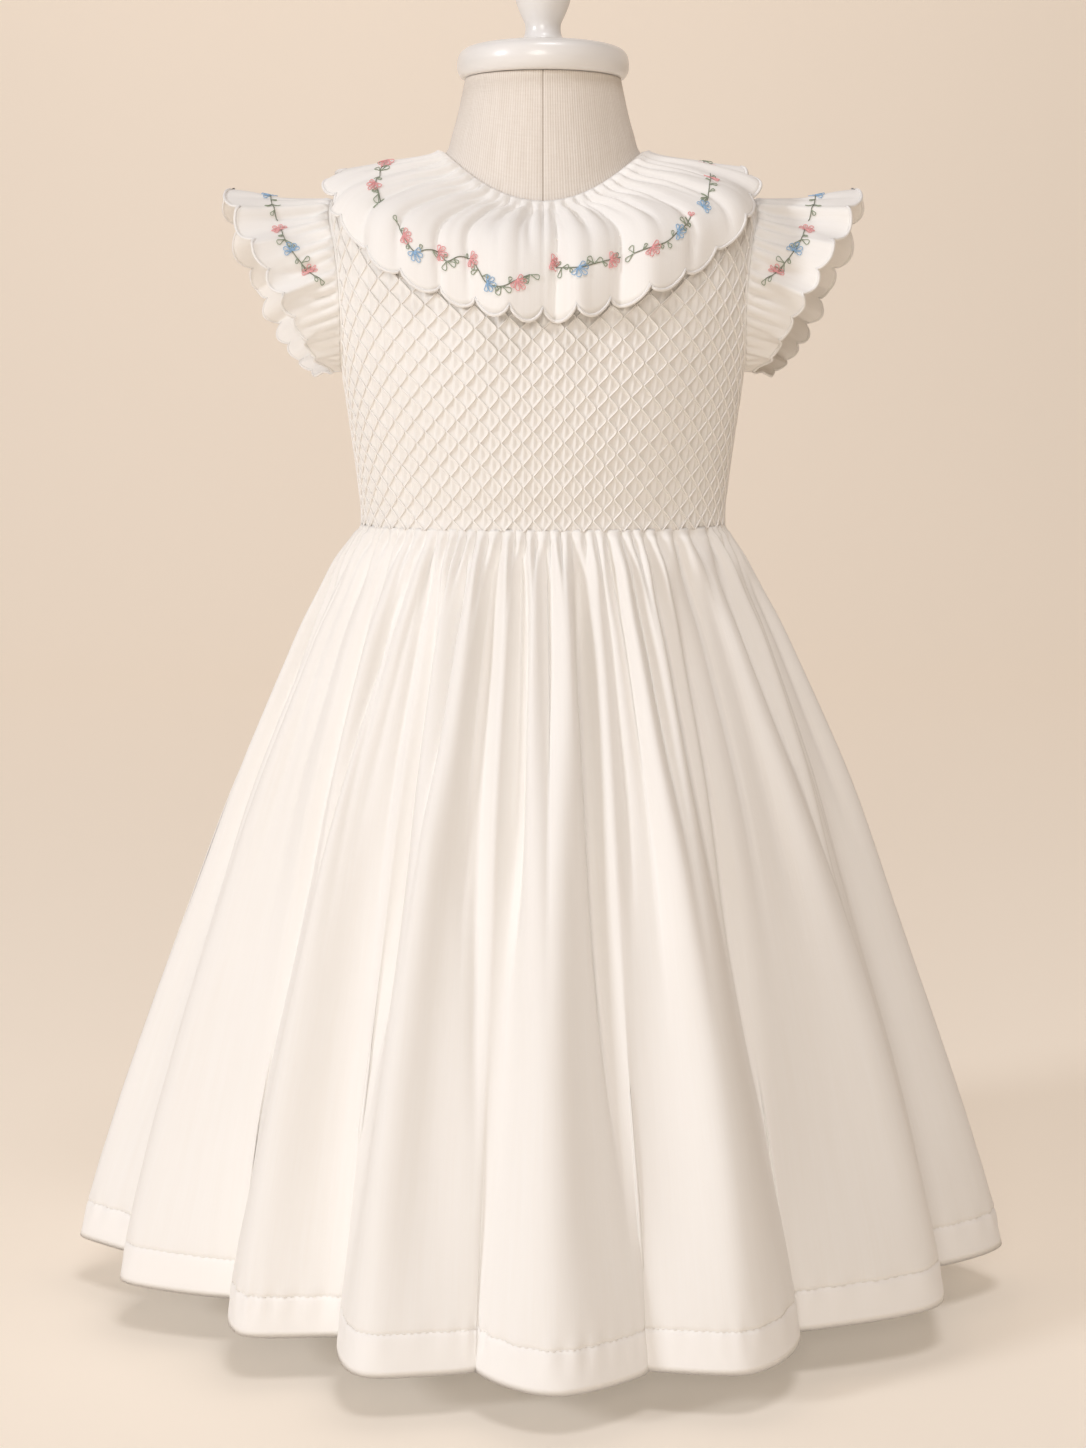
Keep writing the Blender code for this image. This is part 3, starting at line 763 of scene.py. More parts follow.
@dataclass(frozen=True)
class Skirt:
    """The gathered skirt in two panels, with uneven gathers, folds and a turned-up hem."""
    folds: tuple[Fold, ...] = (
        Fold("right side", -90, 0.2550, -81, 0.2150, 0.0270),
        Fold("front 1", -72, 0.2320, -58, 0.1830, 0.0265),
        Fold("front 2", -47, 0.2060, -34, 0.1730, 0.0240),
        Fold("front 3", -24, 0.2080, -10, 0.1850, 0.0220),
        Fold("front 4", 2.5, 0.2110, 15, 0.1880, 0.0210),
        Fold("front 5", 28, 0.2110, 41, 0.1850, 0.0220),
        Fold("front 6", 64, 0.2270, 76, 0.2140, 0.0250),
        Fold("left side", 88, 0.2515, 99, 0.2140, 0.0260),
        Fold("back 1", 111, 0.2330, 123, 0.1900, 0.0245),
        Fold("back 2", 135, 0.2130, 147, 0.1850, 0.0225),
        Fold("back 3", 158, 0.2110, 170, 0.1830, 0.0215),
        Fold("back 4", 181, 0.2080, 193, 0.1810, 0.0220),
        Fold("back 5", 204, 0.2110, 216, 0.1850, 0.0225),
        Fold("back 6", 227, 0.2180, 239, 0.1910, 0.0240),
        Fold("back 7", 250, 0.2340, 260, 0.2130, 0.0255),
    )
    levels: tuple[tuple[float, float], ...] = (
        (0.0, 0.0962), (0.012, 0.0975), (0.040, 0.1048), (0.085, 0.1140), (0.130, 0.1236),
        (0.240, 0.1415), (0.344, 0.1575), (0.477, 0.1736), (0.6185, 0.1918), (0.750, 0.2089),
        (0.860, 0.2225), (0.949, 0.2337), (1.0, 0.2390))
    creases: tuple[Trough, ...] = (
        Trough(0.30, 0.45, 0.03, 0.55, 3.8, 4.1), Trough(0.78, 0.62, 0.01, 0.90, 4.3, 6.8),
        Trough(1.16, 1.20, 0.04, 0.50, 3.8, 3.4), Trough(1.58, 1.52, 0.02, 0.80, 4.8, 6.1),
        Trough(2.08, 1.75, 0.02, 0.85, 3.8, 8.8), Trough(2.32, 2.20, 0.05, 0.45, 3.8, 3.4),
        Trough(2.52, 2.66, 0.02, 0.80, 4.3, 8.8), Trough(2.93, 2.98, 0.05, 0.38, 4.8, 3.4),
        Trough(3.33, 3.42, 0.01, 0.85, 4.8, 8.1), Trough(3.69, 3.66, 0.02, 0.60, 3.3, 7.4),
        Trough(4.02, 4.00, 0.03, 0.30, 3.8, 3.0), Trough(4.36, 4.34, 0.00, 0.92, 3.8, 10.8),
        Trough(4.64, 4.62, 0.03, 0.55, 3.8, 5.4), Trough(4.98, 5.02, 0.05, 0.42, 4.8, 3.5),
        Trough(5.28, 5.22, 0.03, 0.50, 3.8, 4.3), Trough(5.54, 5.42, 0.01, 0.85, 4.3, 8.8),
        Trough(5.74, 5.80, 0.03, 0.60, 3.8, 4.7), Trough(5.94, 6.10, 0.02, 0.70, 4.3, 6.8),
        Trough(6.38, 6.45, 0.02, 0.75, 4.8, 5.4), Trough(6.74, 6.80, 0.04, 0.50, 3.8, 3.8),
        Trough(7.35, 7.45, 0.02, 0.80, 4.3, 6.8), Trough(7.80, 7.72, 0.04, 0.50, 3.8, 4.1),
        Trough(8.22, 8.30, 0.02, 0.62, 3.8, 5.4), Trough(8.55, 8.52, 0.01, 0.85, 4.3, 8.1),
        Trough(9.05, 9.00, 0.04, 0.40, 4.8, 3.5), Trough(9.40, 9.46, 0.02, 0.85, 4.3, 8.8),
        Trough(9.78, 9.82, 0.04, 0.52, 3.8, 4.3), Trough(10.20, 10.12, 0.03, 0.44, 3.8, 3.8),
        Trough(10.52, 10.50, 0.01, 0.88, 4.3, 8.8), Trough(10.90, 10.98, 0.04, 0.42, 4.8, 3.5),
        Trough(11.26, 11.20, 0.03, 0.55, 3.8, 4.9), Trough(11.55, 11.48, 0.01, 0.85, 4.3, 8.8),
        Trough(12.05, 12.08, 0.04, 0.36, 4.3, 3.5), Trough(12.44, 12.50, 0.02, 0.82, 4.3, 8.1),
        Trough(12.80, 12.74, 0.03, 0.50, 3.8, 4.3), Trough(13.22, 13.26, 0.04, 0.46, 3.8, 3.8),
        Trough(13.58, 13.54, 0.02, 0.85, 4.3, 7.4), Trough(14.10, 14.06, 0.03, 0.48, 3.8, 4.1),
        Trough(14.50, 14.48, 0.01, 0.80, 4.3, 6.8),
    )
    top: float = 0.4157 - SEAM_GAP
    depth_ratio: float = 0.83
    square_top: float = 2.15
    square_hem: float = 1.75
    growth: float = 0.86
    pinch: float = 0.095
    pinch_growth: float = 1.8
    steep: float = 0.030
    lean: float = 0.060
    waist_clear: float = 0.8 * MM
    gather_depth: float = 7.6 * MM
    gather_reach: float = 0.056
    gather_swing: float = 0.036
    pleat_depth: float = 10.0 * MM
    long_swell: float = 3.2 * MM
    crease_strength: float = 1.2
    least_room: float = 2.0 * MM
    form_room: float = 0.55
    fold_width_waist: float = 0.038
    fold_width_hem: float = 0.110
    length: float = 0.415
    hem_share: float = 0.949
    hem_groove: float = 0.70 * MM
    groove_half_width: float = 0.0022
    pucker: float = 0.45 * MM
    pucker_swing: float = 0.25 * MM
    hem_inset: float = 1.1 * MM
    hem_rows: tuple[float, ...] = (
        0.937, 0.943, 0.9465, 0.948, 0.949, 0.950, 0.9515, 0.955, 0.962, 0.972, 0.982, 0.991, 1.0)
    stitches_per_fold: int = 40
    stitch_share: float = 0.6
    stitch_radius: float = 0.22 * MM
    gathers_per_fold: int = 6
    columns_per_fold: int = 54
    thick: float = 0.0005
    seam_fold: int = 7

    def round(self, bearing: Points, half_width: Points, square: Points) -> Points:
        """The plain section's reach.

        Args:
            bearing: bearings round the skirt, in radians.
            half_width: the section's half width.
            square: how square the section is, 2 for an ellipse.

        Returns:
            The distance from the middle at each bearing.
        """
        across = np.abs(np.sin(bearing)) / half_width
        deep = np.abs(np.cos(bearing)) / (half_width * self.depth_ratio)
        return (across ** square + deep ** square) ** (-1 / square)

    def half_width(self, share: Points) -> Points:
        """The plain section's half width, eased between the levels.

        Args:
            share: shares of the way from waist to hem.

        Returns:
            The half width at each share.
        """
        shares, widths = zip(*self.levels)
        reach = 0.16 * share + 0.001
        read = [np.interp(share + reach * k / 4, shares, widths) for k in range(-4, 5)]
        beyond = np.maximum(share + reach - 1.0, 0.0)
        return sum(read) / len(read) + beyond * 0.02

    def point(self, place: Points, share: Points) -> Points:
        """Points on the skirt's hanging folds, without gathers and creases.

        Args:
            place: each point's place round the skirt, counted in folds.
            share: each point's share of the way from waist to hem.

        Returns:
            The points.
        """
        place, share = np.broadcast_arrays(place, share)
        count = len(self.folds)
        number = np.floor(place).astype(int)
        phase = place - number
        table = {column: np.array([getattr(fold, column) for fold in self.folds], float)
                 for column in ("crest", "crest_reach", "valley", "valley_reach", "hem_height")}
        this, after = number % count, (number + 1) % count
        crest, valley = table["crest"][this], table["valley"][this]
        next_crest = table["crest"][after] + np.where(after == 0, 360.0, 0.0)
        ease = (1 - np.cos(TURN * phase)) / 2
        first = phase < 0.5
        low = table["valley_reach"][this]
        high = np.where(first, table["crest_reach"][this], table["crest_reach"][after])
        reach = high + (low - high) * ease
        bearing = np.where(first, crest + (valley - crest) * phase * 2,
                           valley + (next_crest - valley) * (phase * 2 - 1))
        hem = table["hem_height"][this] + (table["hem_height"][after] - table["hem_height"][this]) * phase
        growth = np.maximum(share, 0.0) ** self.growth
        lean = self.lean * np.sin(np.radians(2 * valley)) * np.where(first, 1.0, -1.0)
        pinch = (self.pinch + lean) * np.sin(TURN * phase) - self.steep * np.sin(2 * TURN * phase)
        pinch = pinch * np.maximum(share, 0.0) ** self.pinch_growth
        bearing = np.radians(bearing + number // count * 360.0 + (next_crest - crest) * pinch)
        square = self.square_top + (self.square_hem - self.square_top) * share
        plain = self.round(bearing, self.half_width(share), square)
        at_hem = self.round(bearing, np.float64(self.levels[-1][1]), np.float64(self.square_hem))
        waist = BODY.rings[WAIST]
        depth = np.where(np.cos(bearing) > 0, waist.depth_front, waist.depth_back)
        snug = (np.abs(np.sin(bearing) / waist.half_width) ** waist.square
                + np.abs(np.cos(bearing) / depth) ** waist.square) ** (-1 / waist.square)
        snug = snug + FORM_GAP + CLOTH + self.waist_clear
        flared = plain + growth * (reach - at_hem)
        shelf = 0.010 + 0.05 * np.maximum(-np.cos(bearing), 0.0)
        radius = snug + (flared - snug) * smooth_step(0.0, shelf, share)
        z = self.top + (hem - self.top) * share
        return np.stack((radius * np.sin(bearing), -radius * np.cos(bearing), z), axis=-1)

    def fine_gathers(self, place: Points, share: Points) -> Points:
        """The gathers below the waist seam, each of its own size and length.

        Args:
            place: each point's place round the skirt, counted in folds.
            share: each point's share of the way from waist to hem.

        Returns:
            The height in metres at each point.
        """
        drift = 0.35 * uneven(np.floor(place * 2)) * np.sin(math.pi * (place * 2 % 1)) ** 2
        count = place * self.gathers_per_fold + drift
        number = np.floor(count)
        size = 0.75 + 0.35 * uneven(number, 1.0)
        reach = self.gather_reach + self.gather_swing * uneven(number, 2.0)
        fade = np.exp(-(np.maximum(share, 0.0) / reach) ** 2)
        fade = fade * (0.30 + 0.70 * smooth_step(0.0, 0.010, share))
        return (humps(count, 0.9) - 0.52) * size * self.gather_depth * fade

    def soft_pleats(self, place: Points, share: Points) -> Points:
        """The wider pleats that the gathers run into, and the long swells between the folds.

        Args:
            place: each point's place round the skirt, counted in folds.
            share: each point's share of the way from waist to hem.

        Returns:
            The height in metres at each point.
        """
        count = place * 3.0 + 0.25 * np.sin(place * 2.3) + 0.10 * np.sin(place * 5.1)
        size = 0.8 + 0.4 * uneven(np.floor(count), 3.0)
        pleats = (humps(count, 0.9) - 0.72) * size * self.pleat_depth
        pleats = pleats * smooth_step(0.0, 0.06, share) * (1 - smooth_step(0.14, 0.66, share))
        swells = np.sin(TURN * (2 * place + 0.3 + 0.12 * np.sin(2.1 * place))) * self.long_swell
        return pleats + swells * smooth_step(0.10, 0.45, share) * (1 - 0.6 * smooth_step(0.75, 1.0, share))

    def hem_line(self, place: Points, share: Points) -> Points:
        """The hem's light pucker and the groove that its stitches press.

        Args:
            place: each point's place round the skirt, counted in folds.
            share: each point's share of the way from waist to hem.

        Returns:
            The height in metres at each point.
        """
        size = self.pucker + self.pucker_swing * np.sin(place * 3.7)
        pucker = np.sin(place * 66 + 2.0 * np.sin(place * 9)) * size
        pucker = pucker * smooth_step(0.925, self.hem_share, share) * (1 - smooth_step(0.955, 0.985, share))
        return pucker - self.hem_groove * np.exp(-((share - self.hem_share) / self.groove_half_width) ** 2)

    def relief(self, place: Points, share: Points) -> Points:
        """How far the creased cloth stands out from its folds, kept clear of the form below it.

        Args:
            place: each point's place round the skirt, counted in folds.
            share: each point's share of the way from waist to hem.

        Returns:
            The height in metres at each point.
        """
        width = self.fold_width_waist + (self.fold_width_hem - self.fold_width_waist) * share
        creases = self.crease_strength * pressed(self.creases, place, share, width)
        total = self.fine_gathers(place, share) + self.soft_pleats(place, share) - creases
        room = self.least_room + self.form_room * (self.half_width(share) - self.levels[0][1])
        total = np.where(total < 0, -room * np.tanh(-total / room), total)
        return total + self.hem_line(place, share)

    def cloth(self, place: Points, share: Points, depth: Points = 0.0) -> Points:
        """Points of the creased cloth.

        Args:
            place: each point's place round the skirt, counted in folds.
            share: each point's share of the way from waist to hem.
            depth: how far each point is moved in.

        Returns:
            The points.
        """
        place, share, depth = np.broadcast_arrays(place, share, depth)
        along = self.point(place + 1e-3, share) - self.point(place - 1e-3, share)
        outwards = unit(np.stack((along[..., 1], -along[..., 0], np.zeros(place.shape)), axis=-1))
        return self.point(place, share) + outwards * (self.relief(place, share) - depth)[..., None]

    def panel(self, name: str, first: int, last: int) -> bpy.types.Object:
        """One panel, from its turned-in waist edge to the inside of its hem.

        Args:
            name: the panel's name.
            first: the fold that it starts at.
            last: the fold that it ends at.

        Returns:
            The panel.
        """
        count = (last - first) * self.columns_per_fold
        place = np.linspace(first, last, count + 1)
        outside = np.concatenate((np.linspace(0.0, 0.05, 14)[:-1], np.linspace(0.05, 0.20, 18)[:-1],
                                  np.linspace(0.20, 0.93, 36), self.hem_rows))
        inside = np.linspace(1.0, 0.945, 6)[1:]
        shares = np.concatenate(([-0.0032], outside, inside))
        depths = np.concatenate(([0.5 * MM], np.zeros(len(outside)), np.full(len(inside), self.hem_inset)))
        depths[len(outside) + 1] = 0.9 * MM
        points = self.cloth(place[None, ::-1], shares[:, None], depths[:, None])
        down = np.concatenate(([-1.3 * MM], outside * self.length, (2 - inside) * self.length))
        flat = flat_places(place[None, ::-1] * self.fold_width_hem, down[:, None])
        return grid_object(name, points, flat, thick=self.thick)

    def stitches(self, first: int, last: int) -> bpy.types.Object:
        """The hem's running stitches, short and evenly spaced.

        Args:
            first: the fold that they start at.
            last: the fold that they end at.

        Returns:
            One piece of all the stitches.
        """
        paths = []
        pitch = 1 / self.stitches_per_fold
        depth = np.array([0.1, -0.22, -0.22, 0.1]) * MM
        share = np.full(len(depth), self.hem_share)
        for start in np.arange(first + 0.01, last - pitch, pitch):
            place = start + np.linspace(0, self.stitch_share, len(depth)) * pitch
            points = self.cloth(place, share, depth)
            paths.append((points, unit(points * np.array([1.0, 1.0, 0.0]))))
        return threads(f"hem_stitches_{first}", paths, self.stitch_radius, 4)

    def build(self) -> None:
        """Make both panels and their hem stitches."""
        cotton = CottonLawn("Cotton lawn, skirt", hem_from=self.hem_share * self.length).material()
        sewing = Floss("Sewing cotton", (0.95, 0.92, 0.87), (0.84, 0.79, 0.72)).material()
        halves = (("skirt_front", 0, self.seam_fold), ("skirt_back", self.seam_fold, len(self.folds)))
        for name, first, last in halves:
            piece = fit_out(self.panel(f"{name}_cloth", first, last), cotton, Slot.COTTON, name)
            hem = fit_out(self.stitches(first, last), sewing, Slot.COTTON)


@dataclass(frozen=True)
class Bodice:
    """The smocked front with its honeycomb of cords, the plain back halves, placket and buttons."""
    columns: int = 52
    rows: int = 27
    fine_columns: int = 6
    fine_rows: int = 6
    top: float = 9.9
    lattice_line: float = math.radians(-60)
    cord_radius: float = 0.52 * MM
    cord_lift: float = 0.72 * MM
    ridge: float = 0.45 * MM
    ridge_width: float = 0.85 * MM
    diamond_half_width: float = 5.6 * MM
    pleat: float = 0.70 * MM
    puff: float = 0.35 * MM
    round_corner: float = 0.14
    cord_slant: float = 0.72
    ridge_foot: float = 1.6 * MM
    back_width: float = 0.15
    back_length: float = 0.21
    back_creases: tuple[Trough, ...] = (
        Trough(0.15, 0.18, -0.02, 0.5, 4, 0.5), Trough(0.34, 0.30, -0.02, 0.35, 5, 0.45),
        Trough(0.52, 0.55, -0.02, 0.62, 5, 0.5), Trough(0.71, 0.68, -0.02, 0.3, 4, 0.4),
        Trough(0.24, 0.36, 0.45, 1.0, 6, 0.5), Trough(0.62, 0.52, 0.5, 1.0, 6, 0.45),
    )
    placket_width: float = 0.016
    placket_thick: float = 0.0010
    placket_section: tuple[tuple[float, float], ...] = (
        (-1.0, 0.1), (-1.0, 0.6), (-0.97, 0.95), (-0.8, 1.0), (-0.77, 0.82), (-0.4, 1.0), (0.0, 1.0),
        (0.4, 1.0), (0.77, 0.82), (0.8, 1.0), (0.97, 0.95), (1.0, 0.6), (1.0, 0.1))
    button_places: tuple[float, ...] = (6.0, 5.05, 4.1, 3.15)
    button_outline: tuple[tuple[float, float], ...] = (
        (0.0048, 0.0), (0.0055, 0.0007), (0.0055, 0.0016), (0.0050, 0.0023), (0.0043, 0.0022),
        (0.0037, 0.0016), (0.0, 0.0015))
    hole_at: float = 0.00115
    hole_radius: float = 0.0005
    thread_radius: float = 0.0003

    def row_place(self, row: Points) -> Points:
        """The body's rings at rows of the lattice.

        Args:
            row: real-numbered rows, counted from the waist.

        Returns:
            The ring at each row.
        """
        places = np.linspace(WAIST, SHOULDER, 401)
        lengths = lengths_along(BODY.point(np.full(401, self.lattice_line), places))
        return np.interp(row / self.rows * lengths[-1], lengths, places)

    def side_swing(self, row: Points) -> Points:
        """A cord's swing from 0, its crisp left corner, to nearly 1, its rounded right corner."""
        straight = 1 - np.abs(np.mod(row, 2) - 1)
        return 1 - np.sqrt((1 - straight) ** 2 + self.round_corner ** 2) + 0.02

    def relief(self, column: Points, row: Points) -> Points:
        """How far the smocked cloth stands out from its plain form.

        Args:
            column: real-numbered columns of the lattice.
            row: real-numbered rows, counted from the waist.

        Returns:
            The height in metres at each point.
        """
        index = np.floor(column)
        away = np.full(np.broadcast(column, row).shape, 9.0)
        for shift in (-1, 0, 1):
            line = index + shift + self.side_swing(row + index + shift)
            away = np.minimum(away, np.abs(column - line))
        away = away * self.diamond_half_width * self.cord_slant
        ridge = self.ridge * np.exp(-(away / self.ridge_width) ** 2)
        pleats = self.pleat * (np.sin(TURN * (column + 0.1)) + 0.6 * np.sin(2 * TURN * (column + 0.05)))
        inside = 1 - np.exp(-(away / self.ridge_foot) ** 2)
        return ridge + (pleats + self.puff * (inside - 0.7)) * inside

    def front(self) -> bpy.types.Object:
        """The smocked front."""
        column = np.linspace(0, self.columns, self.columns * self.fine_columns + 1)
        row = np.linspace(0, self.rows, self.rows * self.fine_rows + 1)
        yoke = np.linspace(SHOULDER, self.top, 12)[1:]
        place = np.concatenate((self.row_place(row), yoke))
        rows = np.concatenate((row, self.rows + np.arange(1, len(yoke) + 1)))
        angle = BODY.even(-math.pi + math.pi * column / self.columns)
        angle = BODY.clamp(angle[None, :], place[:, None])
        relief = self.relief(column[None, :], rows[:, None])
        ends = smooth_step(0, 0.5, rows) * (1 - smooth_step(self.rows - 0.5, self.rows, rows))
        points = self.laid(angle, place, OUTSIDE + relief * ends[:, None])
        flat = flat_places(column[None, :], np.concatenate(([0.0], rows))[:, None]) * self.diamond_half_width
        return grid_object("bodice_front_cloth", points, flat, closed=True)

    def laid(self, angle: Points, place: Points, height: Points) -> Points:
        """Lay cloth over the form, its lowest row turned in at the waist.

        Args:
            angle: rows by columns of bearings.
            place: the rows' rings.
            height: the cloth's height over the form at each point.

        Returns:
            The points, with one more row below.
        """
        waist = BODY.out(angle[:1], place[:1, None], TURNED_IN)
        return np.concatenate((waist, BODY.out(angle, place[:, None], height)))

    def cords(self) -> bpy.types.Object:
        """The raised zigzag cords, each touching its neighbours in turn."""
        paths = []
        row = np.linspace(0.04, self.rows - 0.02, self.rows * 6 + 1)
        place = self.row_place(row)
        for index in range(self.columns):
            column = index + self.side_swing(row + index)
            angle = BODY.even(-math.pi + math.pi * column / self.columns)
            keep = np.maximum(BODY.armhole(place), 0.004) + 0.006
            clear = (np.abs(angle) > keep) & (np.abs(angle + math.pi) > keep)
            edges = np.flatnonzero(np.diff(np.concatenate(([0], clear.astype(int), [0]))))
            for start, end in zip(edges[::2], edges[1::2]):
                if end - start > 4:
                    here = slice(start, end)
                    points = BODY.out(angle[here], place[here], OUTSIDE + self.cord_lift)
                    paths.append((points, normals(BODY.point, angle[here], place[here])))
        return threads("smocking_cords", paths, self.cord_radius, 5)

    def back(self, name: str, start: float, end: float) -> bpy.types.Object:
        """One plain half of the back, with soft upright creases.

        Args:
            name: the half's name.
            start: the bearing that it starts at.
            end: the bearing that it ends at.

        Returns:
            The half.
        """
        share = np.linspace(0, 1, 97)
        place = np.concatenate((np.linspace(WAIST, SHOULDER, 90)[:-1], np.linspace(SHOULDER, self.top, 16)))
        centre = SEAM_GAP / 2 / BODY.measure("half_width", place)[:, None]
        low = start + (centre if start > 0 else 0.0)
        high = end - (centre if end < math.pi else 0.0)
        angle = BODY.clamp(BODY.even(low + (high - low) * share[None, :]), place[:, None])
        down = (place - WAIST) / (self.top - WAIST)
        from_side = share if start == 0 else 1 - share
        dents = pressed(self.back_creases, from_side[None, :], down[:, None], np.float64(self.back_width))
        points = self.laid(angle, place, OUTSIDE - dents)
        up = np.concatenate(([0.0], down)) * self.back_length
        flat = flat_places(share[None, :] * self.back_width, up[:, None])
        return grid_object(name, points, flat, closed=True)

    def placket(self) -> bpy.types.Object:
        """The strip that covers the closing edges."""
        place = np.linspace(WAIST, self.top, 110)[:, None]
        across, height = np.array(self.placket_section).T[:, None, :]
        half = self.placket_width / 2 / BODY.measure("half_width", place)
        ripple = 0.12 * MM * np.sin(place * 17 + 3 * across) * (1 - across ** 2)
        raised = OUTSIDE + SEAM_GAP + height * self.placket_thick + ripple
        points = BODY.out(math.pi / 2 + half * across, place, raised)
        flat = flat_places(across * self.placket_width / 2, place * 0.028)
        return grid_object("back_placket_cloth", points, flat)

    def button(self, number: int, place: float) -> tuple[bpy.types.Object, bpy.types.Object]:
        """A four-hole button and the threads that hold it.

        Args:
            number: the button's number, from the top.
            place: the ring that it sits at.

        Returns:
            The button and its threads.
        """
        angle, ring = np.float64(math.pi / 2), np.float64(place)
        centre = Vector(BODY.out(angle, ring, OUTSIDE + self.placket_thick + 3 * SEAM_GAP))
        outwards = Vector(normals(BODY.point, angle, ring))
        made = turned(f"shell_button_{number}", self.button_outline, 0.0, 40, 5)
        spin = Vector((0, 0, 1)).rotation_difference(outwards).to_matrix().to_4x4()
        bm = bmesh.new()
        for x, y in ((-1, -1), (-1, 1), (1, -1), (1, 1)):
            drill = bmesh.ops.create_cone(bm, cap_ends=True, segments=12, radius1=self.hole_radius,
                                          radius2=self.hole_radius, depth=0.01)
            bmesh.ops.translate(bm, verts=drill["verts"], vec=(x * self.hole_at, y * self.hole_at, 0))
        drills = finished(bm, "drills")
        cut = made.modifiers.new("Holes", "BOOLEAN")
        cut.object, cut.solver, cut.operation = drills, "EXACT", "DIFFERENCE"
        shape = bpy.data.meshes.new_from_object(made.evaluated_get(bpy.context.evaluated_depsgraph_get()))
        made.modifiers.clear()
        made.data = shape
        bpy.data.objects.remove(drills)
        shape.transform(Matrix.Translation(centre) @ spin)
        shape.set_sharp_from_angle(angle=math.radians(40))
        over = ((-1, 0.0006), (-1, 0.0017), (-0.3, 0.0021), (0.3, 0.0021), (1, 0.0017), (1, 0.0006))
        paths = []
        for side in (-1, 1):
            local = [Vector((x * self.hole_at, side * self.hole_at, z)) for x, z in over]
            points = np.array([spin.to_3x3() @ p + centre for p in local])
            paths.append((points, np.repeat(np.array(outwards)[None], len(points), axis=0)))
        return made, threads(f"button_thread_{number}", paths, self.thread_radius, 6)

    def build(self) -> None:
        """Make the bodice's pieces."""
        smocked = CottonLawn("Cotton lawn, smocked").material()
        # The cords take a lighter copy of the cloth's cotton: painted highlight on the raised cords.
        cord_highlight_cotton = CottonLawn("Smocking cord, painted highlight", (0.965, 0.945, 0.915), (0.925, 0.895, 0.85)).material()
        front = fit_out(self.front(), smocked, Slot.COTTON, "bodice_front")
        cords = fit_out(self.cords(), cord_highlight_cotton, Slot.COTTON)
        plain = CottonLawn("Cotton lawn, back").material()
        for side, start, end in (("left", 0.0, math.pi / 2), ("right", math.pi / 2, math.pi)):
            half = self.back(f"bodice_back_{side}_cloth", start, end)
            fit_out(half, plain, Slot.COTTON, f"bodice_back_{side}")
        strip = fit_out(self.placket(), plain, Slot.COTTON, "back_placket")
        shell = PearlShell().material()
        sewing = Floss("Button thread", (0.94, 0.91, 0.86), (0.82, 0.77, 0.70)).material()
        for number, place in enumerate(self.button_places, 1):
            button, thread = self.button(number, place)
            fit_out(button, shell, Slot.BUTTON, f"button_{number}")
            fit_out(thread, sewing, Slot.BUTTON)


SATIN = ((0.965, 0.955, 0.935), (0.92, 0.90, 0.87))
SATIN_TWIST = 0.0007


